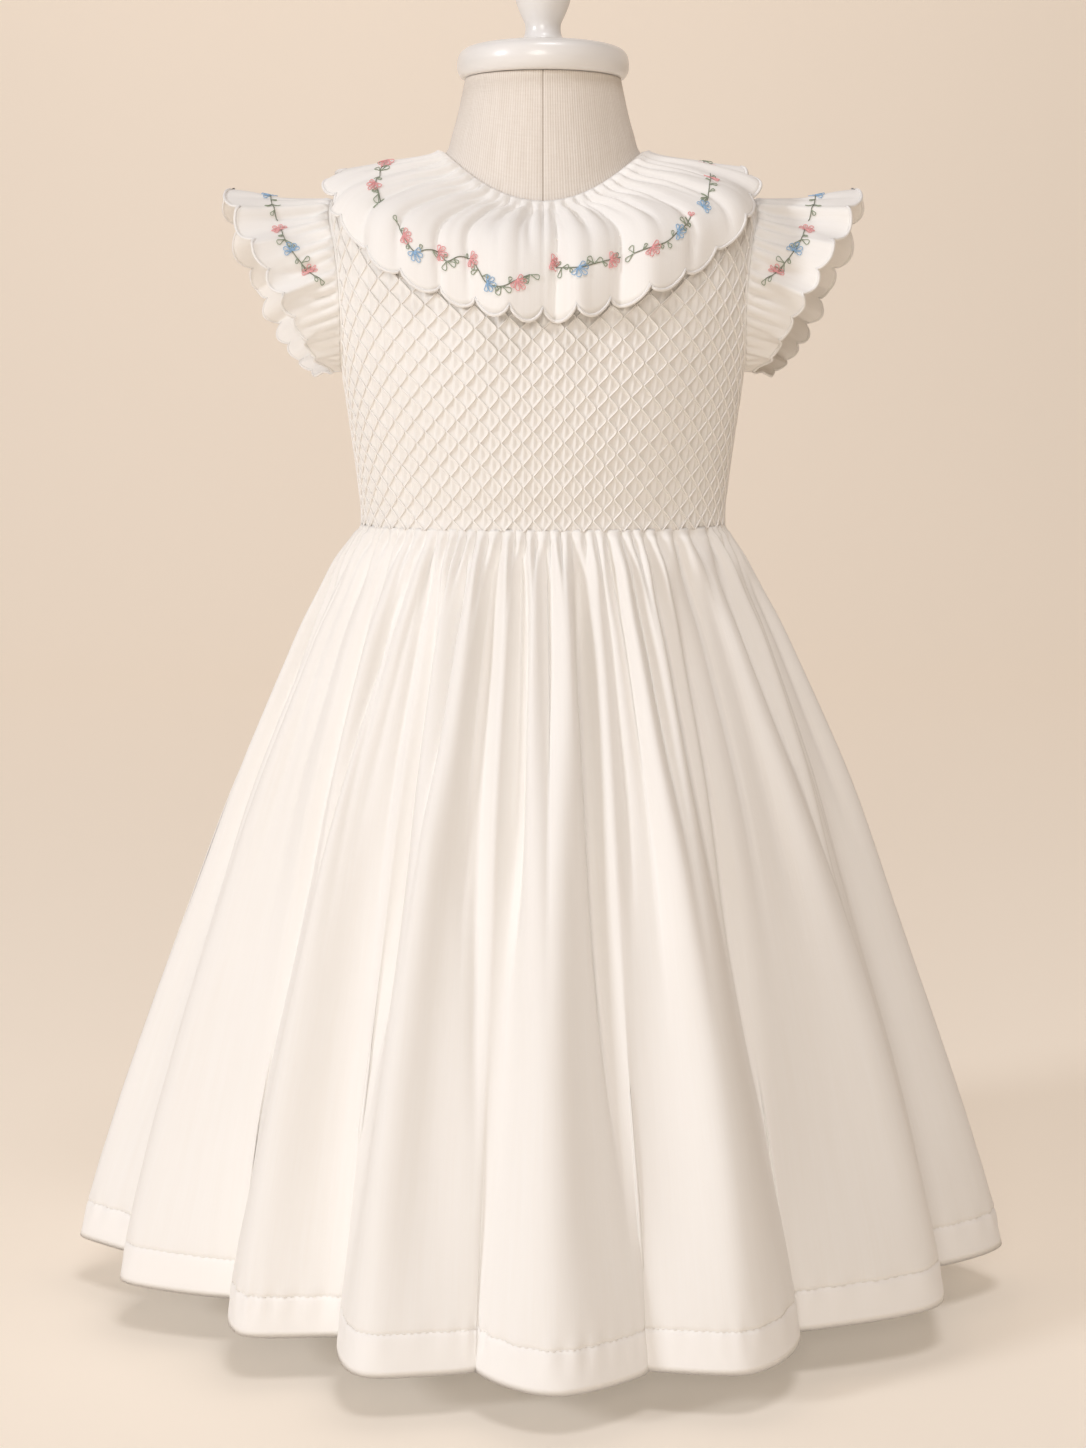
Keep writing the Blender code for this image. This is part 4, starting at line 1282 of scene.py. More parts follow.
@dataclass(frozen=True)
class Collar:
    """One gathered ruffle round the neck, with a corded scalloped edge."""
    scallops: int = 36
    waves: int = 17
    wave_depth: float = 0.0085
    scallop_depth: float = 0.055
    slit: float = math.radians(0.8)
    root: float = 10.22
    edge_side: float = 8.36
    edge_front: float = 5.72
    edge_back: float = 6.45
    fan: float = 1.5
    side_lift: float = 0.0058
    shoulder_tuck: float = 0.10
    gathers: int = 60
    gather_depth: float = 3.9 * MM
    gather_reach: float = 0.42
    gather_swing: float = 0.20
    stand: tuple[tuple[float, float], ...] = (
        (0.0, 1.0), (0.03, 3.0), (0.07, 4.2), (0.32, 5.0), (0.66, 5.8), (1.0, 5.8))
    fine: int = 14
    rows: int = 40
    thick: float = 0.0005
    rim_radius: float = 0.85 * MM
    creases: tuple[Trough, ...] = (
        Trough(-158, -152, 0.02, 0.70, 1.9, 2.3), Trough(-143, -137, 0.02, 1.10, 1.8, 2.7),
        Trough(-129, -126, 0.02, 1.15, 1.7, 2.9), Trough(-118, -116, 0.02, 1.25, 1.5, 3.5),
        Trough(-110.5, -108.5, 0.02, 1.20, 1.4, 3.1), Trough(-104, -103, 0.02, 0.60, 1.4, 2.4),
        Trough(-95, -93, 0.02, 0.75, 1.4, 2.6), Trough(-86, -87, 0.02, 1.30, 1.5, 3.8),
        Trough(-77, -79, 0.02, 0.60, 1.4, 2.4), Trough(-69, -71, 0.02, 1.20, 1.5, 3.1),
        Trough(-59, -61, 0.02, 0.65, 1.4, 2.6), Trough(-49, -53, 0.02, 1.15, 1.8, 3.1),
        Trough(-36, -40, 0.02, 1.00, 1.9, 2.4), Trough(-22, -26, 0.02, 0.75, 1.9, 2.3),
        Trough(-6, -8, 0.02, 0.80, 2.1, 2.0), Trough(12, 14, 0.02, 0.75, 1.9, 2.1),
        Trough(28, 31, 0.02, 0.85, 1.8, 2.6), Trough(42, 45, 0.02, 0.60, 1.6, 2.4),
        Trough(54, 56, 0.02, 0.95, 1.4, 2.5), Trough(66, 67, 0.02, 0.65, 1.4, 2.6),
        Trough(78, 79, 0.02, 0.85, 1.4, 2.9), Trough(101, 100, 0.02, 0.80, 1.4, 2.9),
        Trough(114, 112, 0.02, 0.60, 1.4, 2.4), Trough(126, 124, 0.02, 0.95, 1.4, 2.5),
        Trough(139, 136, 0.02, 0.65, 1.6, 2.6), Trough(153, 150, 0.02, 0.80, 1.8, 2.4),
        Trough(172, 170, 0.02, 0.75, 2.1, 2.1), Trough(-172, -169, 0.02, 0.80, 2.1, 2.1),
    )

    @staticmethod
    def degrees(angle: Points) -> Points:
        """Bearings in degrees from -180 to 180."""
        return np.degrees((angle + math.pi) % TURN - math.pi)

    def surface(self, angle: Points, share: Points) -> Points:
        """Points of the ruffle.

        Args:
            angle: bearings round the neck, in radians.
            share: shares of the way from the neck to the edge.

        Returns:
            The points.
        """
        angle, share = np.broadcast_arrays(angle, share)
        s = np.sin(angle)
        end = np.where(s < 0, self.edge_front, self.edge_back)
        edge = self.edge_side + (end - self.edge_side) * np.abs(s) ** self.fan
        place = self.root + (edge - self.root) * share
        swing = self.waves * angle + 0.9 * np.sin(2 * angle) + 1.3 * np.sin(5 * angle + 0.7) + 0.4
        wave = 0.5 + 0.5 * np.sin(swing + 0.45 * np.sin(swing))
        wave = wave * (0.78 + 0.22 * np.sin(4 * angle + 1.1))
        beside = (1 - np.abs(s)) ** 2
        out = np.maximum(share, 0.0)
        lift = self.wave_depth * wave * out ** 1.4 * (1 - 0.5 * beside)
        shares, heights = zip(*self.stand)
        base = np.interp(share, shares, heights) * MM
        base = base - np.minimum(base - 1.0 * MM, 1.9 * MM) * beside
        dents = pressed(self.creases, self.degrees(angle), share, (0.05 + 0.06 * out) * math.radians(1))
        height = base + lift + self.side_lift * beside * out ** 3 + self.gathered(angle, share) - dents
        return BODY.out(angle, place, height)

    def gathered(self, angle: Points, share: Points) -> Points:
        """The gathers at the neck, each of its own size and length.

        Args:
            angle: bearings round the neck, in radians.
            share: shares of the way from the neck to the edge.

        Returns:
            The height in metres at each point.
        """
        count = angle / TURN * self.gathers
        number = np.floor(count)
        size = 0.8 + 0.35 * uneven(number, 5.0)
        reach = self.gather_reach + self.gather_swing * uneven(number, 6.0)
        height = (humps(count, 0.85) - 0.50) * size * self.gather_depth
        return height * np.exp(-(np.maximum(share, 0.0) / reach) ** 2) * smooth_step(-0.02, 0.05, share)

    def pull(self, angle: Points, count: Points) -> Points:
        """How far the edge is drawn back, at the scallops' ends and in front of the shoulders.

        Args:
            angle: the columns' bearings, in radians.
            count: the columns' places along the scallops.

        Returns:
            The share of the ruffle's depth at each column.
        """
        turn = self.degrees(angle)
        shoulder = np.exp(-((turn + 150) / 13) ** 2) + np.exp(-((turn + 30) / 13) ** 2)
        return self.scallop_depth * (1 - scallop(count)) + self.shoulder_tuck * shoulder

    def columns(self) -> tuple[Points, Points]:
        """The bearing of each column, and its place along the scallops."""
        count = np.linspace(0, self.scallops, self.scallops * self.fine + 1)
        start = math.pi / 2 + self.slit
        return BODY.even(start + (TURN - 2 * self.slit) * count / self.scallops), count

    def cloth(self) -> bpy.types.Object:
        """The ruffle, from its turned-in neck edge to the scallops."""
        angle, count = self.columns()
        share = np.linspace(0, 1, self.rows) ** 1.15
        shares = share[:, None] - self.pull(angle, count)[None, :] * share[:, None] ** 3
        points = self.surface(angle[None, :], shares)[::-1]
        flat = flat_places(angle[None, :] * 0.11, -shares[::-1] * 0.062)
        return grid_object("collar_ruffle_cloth", points, flat, thick=self.thick)

    def rim(self) -> bpy.types.Object:
        """The raised cord along the scallops."""
        angle, count = self.columns()
        share = 1 - self.pull(angle, count) + 0.002
        points = self.surface(angle, share)
        outwards = -normals(self.surface, angle, share)
        return threads("collar_rim", [(points - outwards * self.thick / 2, outwards)], self.rim_radius, 8)

    def build(self) -> None:
        """Make the collar."""
        cotton = CottonLawn("Cotton lawn, collar").material()
        satin = Floss("Satin edging", *SATIN, twist=SATIN_TWIST).material()
        piece = fit_out(self.cloth(), cotton, Slot.COTTON, "collar_ruffle")
        rim = fit_out(self.rim(), satin, Slot.COTTON)


class Reach(NamedTuple):
    """How far a flutter sleeve reaches at a place down the armhole."""
    name: str
    down: float
    width: float
    flare: float
    lift: float


@dataclass(frozen=True)
class FlutterSleeve:
    """A gathered, scalloped ruffle round one armhole."""
    side: str
    mirror: int
    edge: tuple[Reach, ...] = (
        Reach("shoulder", 0.000, 0.0570, 0.000, 0.0085),
        Reach("first scallop", 0.143, 0.0525, 0.004, 0.0040),
        Reach("second scallop", 0.286, 0.0455, 0.007, 0.0000),
        Reach("third scallop", 0.429, 0.0370, 0.009, -0.0010),
        Reach("fourth scallop", 0.571, 0.0285, 0.009, 0.0000),
        Reach("fifth scallop", 0.714, 0.0195, 0.008, 0.0010),
        Reach("sixth scallop", 0.857, 0.0125, 0.006, 0.0010),
        Reach("underarm", 1.000, 0.0050, 0.003, 0.0010),
    )
    back_extra: float = 0.013
    root_height: float = 0.0035
    root_scale: float = 0.99
    piping_height: float = 0.0029
    piping_scale: float = 0.997
    piping_radius: float = 0.70 * MM
    droop: float = 0.75
    scallops: int = 18
    fine: int = 14
    rows: int = 34
    waves: int = 11
    wave_depth: float = 0.0065
    gathers: int = 42
    gather_depth: float = 3.0 * MM
    gather_reach: float = 0.50
    gather_swing: float = 0.22
    scallop_depth: float = 0.10
    end: float = 0.985
    thick: float = 0.0005
    rim_radius: float = 0.80 * MM
    creases: tuple[Trough, ...] = (
        Trough(-0.86, -0.80, 0.0, 1.0, 1.2, 1.1), Trough(-0.70, -0.64, 0.0, 0.9, 1.5, 1.9),
        Trough(-0.54, -0.47, 0.0, 0.8, 1.7, 2.4), Trough(-0.42, -0.34, 0.0, 1.0, 1.9, 3.0),
        Trough(-0.28, -0.22, 0.0, 0.75, 1.9, 2.4), Trough(-0.16, -0.12, 0.0, 0.9, 1.9, 2.7),
        Trough(-0.03, -0.01, 0.0, 0.8, 1.9, 2.4), Trough(0.10, 0.09, 0.0, 1.0, 2.0, 3.0),
        Trough(0.24, 0.20, 0.0, 0.7, 1.9, 2.4), Trough(0.38, 0.32, 0.0, 0.95, 2.0, 3.0),
        Trough(0.53, 0.46, 0.0, 0.8, 1.7, 2.4), Trough(0.69, 0.63, 0.0, 0.9, 1.5, 1.9),
        Trough(0.86, 0.80, 0.0, 1.0, 1.2, 1.1),
    )

    def seam(self, down: Points, facing: Points, scale: float) -> tuple[Points, Points]:
        """The seam round the armhole.

        Args:
            down: shares of the way from the shoulder to the underarm.
            facing: -1 in front and 1 behind.
            scale: its size for one of the armhole's.

        Returns:
            The bearings and the body's rings along it.
        """
        turn = math.pi * down
        height = BODY.armhole_middle + BODY.armhole_half_height * np.cos(turn) * scale
        return facing * BODY.armhole_half_angle * scale * np.sin(turn), BODY.place_at(height)

    def root(self, down: Points, facing: Points) -> Points:
        """Points where the ruffle leaves the armhole."""
        angle, place = self.seam(down, facing, self.root_scale)
        return BODY.out(angle, place, np.full(angle.shape, self.root_height))

    def plain(self, along: Points, share: Points) -> Points:
        """Points of the ruffle before it is gathered.

        Args:
            along: places from -1, the front underarm, over the shoulder to 1, the back underarm.
            share: shares of the way from the seam to the edge.

        Returns:
            The points on the left side.
        """
        along, share = np.broadcast_arrays(along, share)
        facing = np.where(along < 0, -1.0, 1.0)
        down = np.minimum(np.abs(along), 1.0)
        lower = down ** self.droop
        steps = lower * (len(self.edge) - 1)
        width, flare, lift = (read_row([getattr(row, column) for row in self.edge], steps)
                              for column in ("width", "flare", "lift"))
        extra = np.where(facing > 0, self.back_extra * np.sin(math.pi * lower), 0.0)
        reach = np.stack((width + extra, facing * (flare + extra), lift - extra), axis=-1)
        root, edge = self.root(down, facing), self.root(lower, facing) + reach
        return root + (edge - root) * share[..., None]

    def surface(self, along: Points, share: Points) -> Points:
        """Points of the gathered ruffle, on its own side of the body.

        Args:
            along: places from -1, the front underarm, over the shoulder to 1, the back underarm.
            share: shares of the way from the seam to the edge.

        Returns:
            The points.
        """
        along, share = np.broadcast_arrays(along, share)
        scaled = (along / self.end + 1) / 2
        column = scaled * self.scallops * 4
        wave = 2 * np.abs(np.sin(math.pi * self.waves * scaled + 0.5 * np.sin(5 * column / 8))) ** 0.9 - 1.1
        narrow = np.cos(math.pi / 2 * np.clip(along, -1, 1)) ** 0.5
        out = np.maximum(share, 0.0)
        lift = self.wave_depth / 2 * wave * out * narrow
        count = scaled * self.gathers
        number = np.floor(count)
        size = 0.9 + 0.3 * uneven(number, 9.0)
        reach = self.gather_reach + self.gather_swing * uneven(number, 8.0)
        gather = (humps(count, 0.85) - 0.50) * size * self.gather_depth
        gather = gather * np.exp(-(out / reach) ** 2) * narrow * smooth_step(0.0, 0.06, share)
        dents = pressed(self.creases, along, share, 0.06 + 0.05 * out)
        outside = normals(self.plain, along, share)
        points = self.plain(along, share) + outside * (lift - gather + dents * narrow)[..., None]
        return points * np.array([self.mirror, 1, 1])

    def columns(self) -> tuple[Points, Points]:
        """The place of each column along the armhole, and along the scallops."""
        count = np.linspace(0, self.scallops, self.scallops * self.fine + 1)
        return self.end * (2 * count / self.scallops - 1), count

    def cloth(self) -> bpy.types.Object:
        """The ruffle's cloth."""
        along, count = self.columns()
        share = np.linspace(0, 1, self.rows)
        pull = self.scallop_depth * (1 - scallop(count))
        shares = share[:, None] - pull[None, :] * share[:, None] ** 3
        points = self.surface(along[None, :], shares)
        if self.mirror > 0:
            points = points[::-1]
            shares = shares[::-1]
        flat = flat_places(along[None, :] * 0.17, shares * 0.05)
        return grid_object(f"sleeve_{self.side}_cloth", points, flat, thick=self.thick)

    def rim(self) -> bpy.types.Object:
        """The raised cord along the scallops."""
        along, count = self.columns()
        share = 1 - self.scallop_depth * (1 - scallop(count)) + 0.002
        cord = (self.surface(along, share), normals(self.surface, along, share))
        return threads(f"sleeve_{self.side}_rim", [cord], self.rim_radius, 8)

    def piping(self) -> bpy.types.Object:
        """The corded seam between the sleeve and the armhole."""
        along = self.end * np.linspace(-1, 1, 121)
        angle, place = self.seam(np.abs(along), np.sign(along), self.piping_scale)
        mirror = np.array([self.mirror, 1, 1])
        points = BODY.out(angle, place, np.full(len(along), self.piping_height))
        cord = (points * mirror, normals(BODY.point, angle, place) * mirror)
        return threads(f"sleeve_{self.side}_piping", [cord], self.piping_radius, 8)

    def build(self) -> None:
        """Make the sleeve."""
        cotton = CottonLawn(f"Cotton lawn, {self.side} sleeve").material()
        satin = Floss(f"Satin edging, {self.side} sleeve", *SATIN, twist=SATIN_TWIST).material()
        piece = fit_out(self.cloth(), cotton, Slot.COTTON, f"sleeve_{self.side}")
        rim = fit_out(self.rim(), satin, Slot.COTTON)
        piping = fit_out(self.piping(), cotton, Slot.COTTON)


class Motif(Enum):
    """What is worked at a place of a vine."""
    PINK = "pink flower"
    BLUE = "blue flower"
    LEAVES = "pair of leaves"
    SPRIG = "single leaf"
    BUD = "pink bud"
    TURN = "bend of the stem"


class Station(NamedTuple):
    """A place on a vine: its two surface coordinates, its motif, and the motif's turn in degrees."""
    across: float
    down: float
    motif: Motif
    turn: float


class Loop(NamedTuple):
    """A loop of thread that leaves a place in one direction and comes back to it."""
    station: Station
    turn: float
    length: float
    width: float
    start: float = 0.0
    rise: float = 0.0

    def outline(self) -> Points:
        """The loop's points on the flat cloth, in metres from its place."""
        t = np.linspace(0.0, 1.0, 11)
        reach = self.start + (self.length - self.start) * np.sin(math.pi * t) ** 0.8
        swing = self.width / 2 * np.sin(TURN * t) * np.sin(math.pi * t) ** 0.3
        c, s = math.cos(math.radians(self.turn)), math.sin(math.radians(self.turn))
        return np.stack((reach * c - swing * s, reach * s + swing * c), axis=-1)


FLOSS_COLOURS: dict[str, tuple[Colour, Colour]] = {
    "stem": ((0.300, 0.320, 0.250), (0.190, 0.210, 0.155)),
    "leaf": ((0.400, 0.460, 0.340), (0.260, 0.330, 0.220)),
    "pink": ((0.950, 0.480, 0.480), (0.890, 0.350, 0.365)),
    "blue": ((0.400, 0.610, 0.840), (0.260, 0.480, 0.730)),
    "rose": ((0.960, 0.660, 0.640), (0.920, 0.530, 0.520)),
}


@dataclass(frozen=True)
class Embroidery:
    """Vines worked in floss just above a piece's surface."""
    name: str
    surface: Surface
    facing: int
    degrees: bool
    vines: tuple[tuple[Station, ...], ...]
    size_across: float
    size_down: float
    stem_radius: float = 0.28 * MM
    petal_radius: float = 0.22 * MM
    lift: float = 0.42 * MM
    pink_petals: tuple[tuple[float, float], ...] = ((-80, 4.3), (-39, 5.1), (2, 5.7), (42, 5.0), (82, 4.2))
    blue_petals: tuple[tuple[float, float], ...] = ((-84, 4.2), (-42, 4.9), (0, 5.5), (41, 4.9), (83, 4.1))
    petal_width: float = 2.3 * MM
    petal_rise: float = 0.12 * MM
    loop_start: float = 0.3 * MM

    def lay(self, loops: Sequence["Loop"]) -> list[tuple[Points, Points]]:
        """Lay loops on the surface, each at its own place.

        Args:
            loops: the loops.

        Returns:
            For each loop its points and the cloth's normal at each.
        """
        step = 1e-3
        a = np.array([self.scaled(one.station.across) for one in loops])
        b = np.array([one.station.down for one in loops])
        size_a = np.linalg.norm(self.surface(a + step, b) - self.surface(a - step, b), axis=-1) / (2 * step)
        size_b = np.linalg.norm(self.surface(a, b + step) - self.surface(a, b - step), axis=-1) / (2 * step)
        shapes = np.array([one.outline() for one in loops])
        u = a[:, None] + shapes[..., 0] / size_a[:, None]
        v = b[:, None] + shapes[..., 1] / size_b[:, None]
        outwards = normals(self.surface, u, v) * self.facing
        rise = np.array([one.rise for one in loops])[:, None, None]
        points = self.surface(u, v) + outwards * (self.lift + rise)
        return list(zip(points, outwards))

    def scaled(self, across: float) -> float:
        """The first coordinate in the surface's own unit."""
        return math.radians(across) if self.degrees else across

    def stem(self, vine: tuple[Station, ...]) -> tuple[Points, Points]:
        """The stem through a vine's places.

        Args:
            vine: the places in order.

        Returns:
            The stem's points and the cloth's normal at each.
        """
        place = np.linspace(0, len(vine) - 1, (len(vine) - 1) * 8 + 1)
        across = read_row([self.scaled(s.across) for s in vine], place)
        down = read_row([s.down for s in vine], place)
        outwards = normals(self.surface, across, down) * self.facing
        return self.surface(across, down) + outwards * (self.lift - 0.1 * MM), outwards

    def small_leaves(self, vine: tuple[Station, ...]) -> list[Loop]:
        """One leaf half-way between each two places, to each side in turn.

        Args:
            vine: the places in order.

        Returns:
            The leaves.
        """
        leaves = []
        for number, (this, after) in enumerate(zip(vine, vine[1:])):
            middle = Station((this.across + after.across) / 2, (this.down + after.down) / 2, Motif.SPRIG, 0)
            along = math.degrees(math.atan2((after.down - this.down) * self.size_down,
                                            (after.across - this.across) * self.size_across))
            leaves.append(Loop(middle, along + (52 if number % 2 else -52), 3.3 * MM, 1.8 * MM, 0.2 * MM))
        return leaves

    def motif(self, number: int, station: Station) -> list[tuple[str, Loop]]:
        """The loops of one place's flower, bud or leaves.

        Args:
            number: the place's number on its vine.
            station: the place.

        Returns:
            Each loop, with the colour of its floss.
        """
        turn, start = station.turn, self.loop_start
        wobble = 14 * float(uneven(np.float64(number + 10 * station.across)))
        loops = []
        if station.motif is Motif.PINK:
            for petal, (aside, long) in enumerate(self.pink_petals):
                way = turn + aside + wobble
                petals = Loop(station, way, long * MM, self.petal_width, start, self.petal_rise)
                loops.append(("pink", petals))
                if petal % 3:
                    loops.append(("rose", Loop(station, way, long * 0.72 * MM, 1.1 * MM, 0.4 * MM)))
        elif station.motif is Motif.BLUE:
            for aside, long in self.blue_petals:
                way = turn + aside + wobble
                petals = Loop(station, way, long * MM, self.petal_width, start, self.petal_rise)
                loops.append(("blue", petals))
        elif station.motif is Motif.LEAVES:
            for way in (turn - 48, turn + 52 + wobble):
                loops.append(("leaf", Loop(station, way, 4.9 * MM, 2.9 * MM, start)))
        elif station.motif is Motif.SPRIG:
            loops.append(("leaf", Loop(station, turn, 4.4 * MM, 2.3 * MM, start)))
        elif station.motif is Motif.BUD:
            for way in (turn - 30, turn + 30):
                loops.append(("pink", Loop(station, way, 2.6 * MM, 1.5 * MM, start, 0.1 * MM)))
        return loops

    def build(self) -> None:
        """Work the vines, one piece for each colour of floss."""
        work: dict[str, list[Loop]] = {"leaf": [], "pink": [], "blue": [], "rose": []}
        for vine in self.vines:
            work["leaf"] += self.small_leaves(vine)
            for number, station in enumerate(vine):
                for colour, loop in self.motif(number, station):
                    work[colour].append(loop)
        sewn = {colour: self.lay(loops) for colour, loops in work.items()}
        sewn["stem"] = [self.stem(vine) for vine in self.vines]
        for colour, paths in sewn.items():
            radius = self.stem_radius if colour == "stem" else self.petal_radius
            look = Floss(f"Floss, {colour}, {self.name}", *FLOSS_COLOURS[colour]).material()
            fit_out(threads(f"{self.name}_{colour}", paths, radius, 5), look, Slot.COTTON)


# Places on the vines: on the collar in degrees, on the sleeves from -1 in front to 1 behind.
P, B, L, S, U, T = Motif.PINK, Motif.BLUE, Motif.LEAVES, Motif.SPRIG, Motif.BUD, Motif.TURN
COLLAR_VINES = (
    ((-165, 0.50, P, 20), (-158, 0.54, L, 200), (-152, 0.55, T, 0), (-147, 0.57, P, 60),
     (-142, 0.58, L, 100), (-138, 0.61, S, 80)),
    ((-128, 0.66, S, 210), (-125.5, 0.72, P, 10), (-122.5, 0.80, B, 40), (-119.5, 0.76, T, 0),
     (-116.8, 0.74, P, 0), (-114.5, 0.79, L, 60), (-111.5, 0.74, T, 0), (-108.5, 0.73, P, 20),
     (-106.5, 0.80, S, 150), (-104.3, 0.87, B, 10), (-100.5, 0.88, L, 70), (-97, 0.84, P, 30),
     (-93.5, 0.80, L, 60)),
    ((-88, 0.70, P, 0), (-85, 0.75, L, 60), (-81, 0.78, B, 30), (-77, 0.76, L, 280), (-73, 0.74, P, 15),
     (-70, 0.72, T, 0)),
    ((-67, 0.74, L, 200), (-63, 0.74, P, 40), (-59, 0.73, S, 60), (-56, 0.69, B, 10), (-53, 0.66, L, 300),
     (-50, 0.62, U, 320)),
    ((-45, 0.62, B, 0), (-40, 0.60, L, 250), (-34, 0.57, S, 60), (-28, 0.57, P, 30), (-21, 0.58, T, 0)),
    ((-10, 0.60, P, 0), (-2, 0.61, L, 40), (6, 0.63, B, 20), (14, 0.62, L, 300), (22, 0.62, P, 10),
     (28, 0.64, S, 60)),
    ((36, 0.64, S, 200), (41, 0.66, P, 40), (47, 0.70, L, 60), (52, 0.69, B, 0), (57, 0.66, L, 280),
     (62, 0.68, P, 20), (66, 0.70, T, 0)),
    ((71, 0.68, B, 10), (76, 0.72, L, 80), (81, 0.70, P, 0), (85, 0.68, S, 50)),
    ((95, 0.68, S, 180), (99, 0.70, P, 30), (104, 0.72, L, 70), (109, 0.68, B, 0), (113, 0.66, T, 0)),
    ((119, 0.68, L, 220), (124, 0.68, P, 10), (130, 0.64, B, 30), (136, 0.63, L, 300), (142, 0.62, P, 0),
     (148, 0.60, S, 40)),
    ((157, 0.60, B, 0), (164, 0.61, L, 60), (171, 0.60, P, 40), (178, 0.60, S, 60)),
)
SLEEVE_VINES = (
    ((0.16, 0.58, S, 20), (0.10, 0.56, P, 0), (0.04, 0.58, L, 120), (-0.03, 0.57, B, 20),
     (-0.09, 0.57, L, 180), (-0.15, 0.55, T, 0)),
    ((-0.20, 0.56, P, 30), (-0.25, 0.58, L, 150), (-0.30, 0.55, B, 10), (-0.35, 0.48, L, 240),
     (-0.40, 0.40, P, 0), (-0.44, 0.30, S, 200)),
    ((0.24, 0.58, P, 0), (0.30, 0.56, L, 60), (0.36, 0.52, B, 30), (0.42, 0.44, L, 100),
     (0.48, 0.34, P, 10)),
)


def vines(rows: tuple) -> tuple[tuple[Station, ...], ...]:
    """Read rows of places as vines."""
    return tuple(tuple(Station(*place) for place in row) for row in rows)


@dataclass(frozen=True)
class DressForm:
    """The limbless linen form, its painted cap and knob, and its stand."""
    columns: int = 160
    rows: int = 150
    seam_depth: float = 0.42 * MM
    seam_half_width: float = 0.5 * MM
    cap: tuple[tuple[float, float], ...] = (
        (0.0400, 0.0), (0.0420, 0.0004), (0.0436, 0.0022), (0.0445, 0.0055), (0.0443, 0.0090),
        (0.0432, 0.0122), (0.0405, 0.0146), (0.0360, 0.0160), (0.0290, 0.0170), (0.0180, 0.0177),
        (0.0, 0.0180))
    knob: tuple[tuple[float, float], ...] = (
        (0.0115, 0.0), (0.0113, 0.0015), (0.0100, 0.0032), (0.0092, 0.0062), (0.0094, 0.0095),
        (0.0110, 0.0130), (0.0138, 0.0200), (0.0150, 0.0280), (0.0140, 0.0360), (0.0105, 0.0425),
        (0.0055, 0.0460), (0.0, 0.0470))
    base_radius: float = 0.100
    base_thick: float = 0.012
    pole_radius: float = 0.008

    def surface(self, angle: Points, place: Points) -> Points:
        """The linen cover, drawn in along its four seams.

        Args:
            angle: bearings round the form, in radians.
            place: real-numbered rings.

        Returns:
            The points.
        """
        front = np.exp(-((np.cos(angle) * LINEN_ROUND) / self.seam_half_width) ** 2)
        side = np.exp(-((np.sin(angle) * LINEN_ROUND) / self.seam_half_width) ** 2)
        return BODY.out(angle, place, -self.seam_depth * np.maximum(front, side) - 0.05 * MM)

    def torso(self) -> bpy.types.Object:
        """The torso with its neck, closed above and below."""
        angle = np.linspace(0, TURN, self.columns + 1)
        near = np.array([-2, -1, 0, 1, 2]) * 0.012
        seams = np.concatenate([k * math.pi / 2 + near for k in range(4)])
        angle = np.unique(np.concatenate((angle, seams % TURN)))
        place = np.linspace(0, NECK_TOP, self.rows)
        points = self.surface(angle[None, :], place[:, None])
        points[:, -1] = points[:, 0]
        low, high = (np.broadcast_to(points[k].mean(axis=0) * np.array([0, 0, 1]), points[0].shape)[None]
                     for k in (0, -1))
        points = np.concatenate((low, points, high))
        up = np.concatenate(([0.0], lengths_along(points[1:-1, 0]), [0.36]))
        flat = flat_places(angle[None, :] * LINEN_ROUND, up[:, None])
        return grid_object("form_torso_linen", points, flat, closed=True)

    def build(self) -> None:
        """Make the form and its stand."""
        fit_out(self.torso(), RibbedLinen().material(), Slot.LINEN, "form_torso")
        paint = GlossPaint("White turned paint").material()
        bottom = BODY.rings[NECK_TOP].z_side + SEAM_GAP
        fit_out(turned("cap_disc", self.cap, bottom, 96), paint, Slot.TURNED, "neck_cap")
        top = bottom + self.cap[-1][1] + SEAM_GAP
        fit_out(turned("turned_knob", self.knob, top, 64), paint, Slot.TURNED, "finial")
        stand = GlossPaint("White stand paint", roughness=0.3).material()
        low, high = self.base_thick + SEAM_GAP, BODY.rings[0].z_side - SEAM_GAP
        pole = self.rod("stand_pole", self.pole_radius, low, high, 48, 0.0006)
        fit_out(pole, stand, Slot.STAND, "form_pole")
        foot = self.rod("stand_base", self.base_radius, 0.0, self.base_thick, 128, 0.003)
        fit_out(foot, stand, Slot.STAND, "form_base")

    @staticmethod
    def rod(name: str, radius: float, low: float, high: float, sides: int, edge: float) -> bpy.types.Object:
        """An upright rod or disc with rounded end edges.

        Args:
            name: the object's name.
            radius: its radius.
            low: the height of its underside.
            high: the height of its top.
            sides: the number of sides.
            edge: the width of its rounded edges.

        Returns:
            The rod.
        """
        bm = bmesh.new()
        bmesh.ops.create_cone(bm, cap_ends=True, segments=sides, radius1=radius, radius2=radius,
                              depth=high - low)
        bmesh.ops.translate(bm, verts=bm.verts, vec=(0, 0, (high + low) / 2))
        rims = [side for side in bm.edges if side.calc_face_angle(0) > 1]
        bmesh.ops.bevel(bm, geom=rims, offset=edge, affect="EDGES", segments=4, profile=0.5, material=-1)
        return finished(bm, name)


@dataclass(frozen=True)
class Light:
    """A soft area light aimed at the dress."""
    name: str
    place: tuple[float, float, float]
    target: tuple[float, float, float]
    size: float
    power: float
    colour: Colour

    def build(self) -> None:
        """Add the light."""
        lamp = bpy.data.lights.new(self.name, "AREA")
        lamp.shape, lamp.size, lamp.energy, lamp.color = "DISK", self.size, self.power, self.colour
        made = bpy.data.objects.new(self.name, lamp)
        bpy.context.collection.objects.link(made)
        made.location = self.place
        aim = Vector(self.target) - made.location
        made.rotation_euler = aim.to_track_quat("-Z", "Y").to_euler()
        made.visible_camera = False


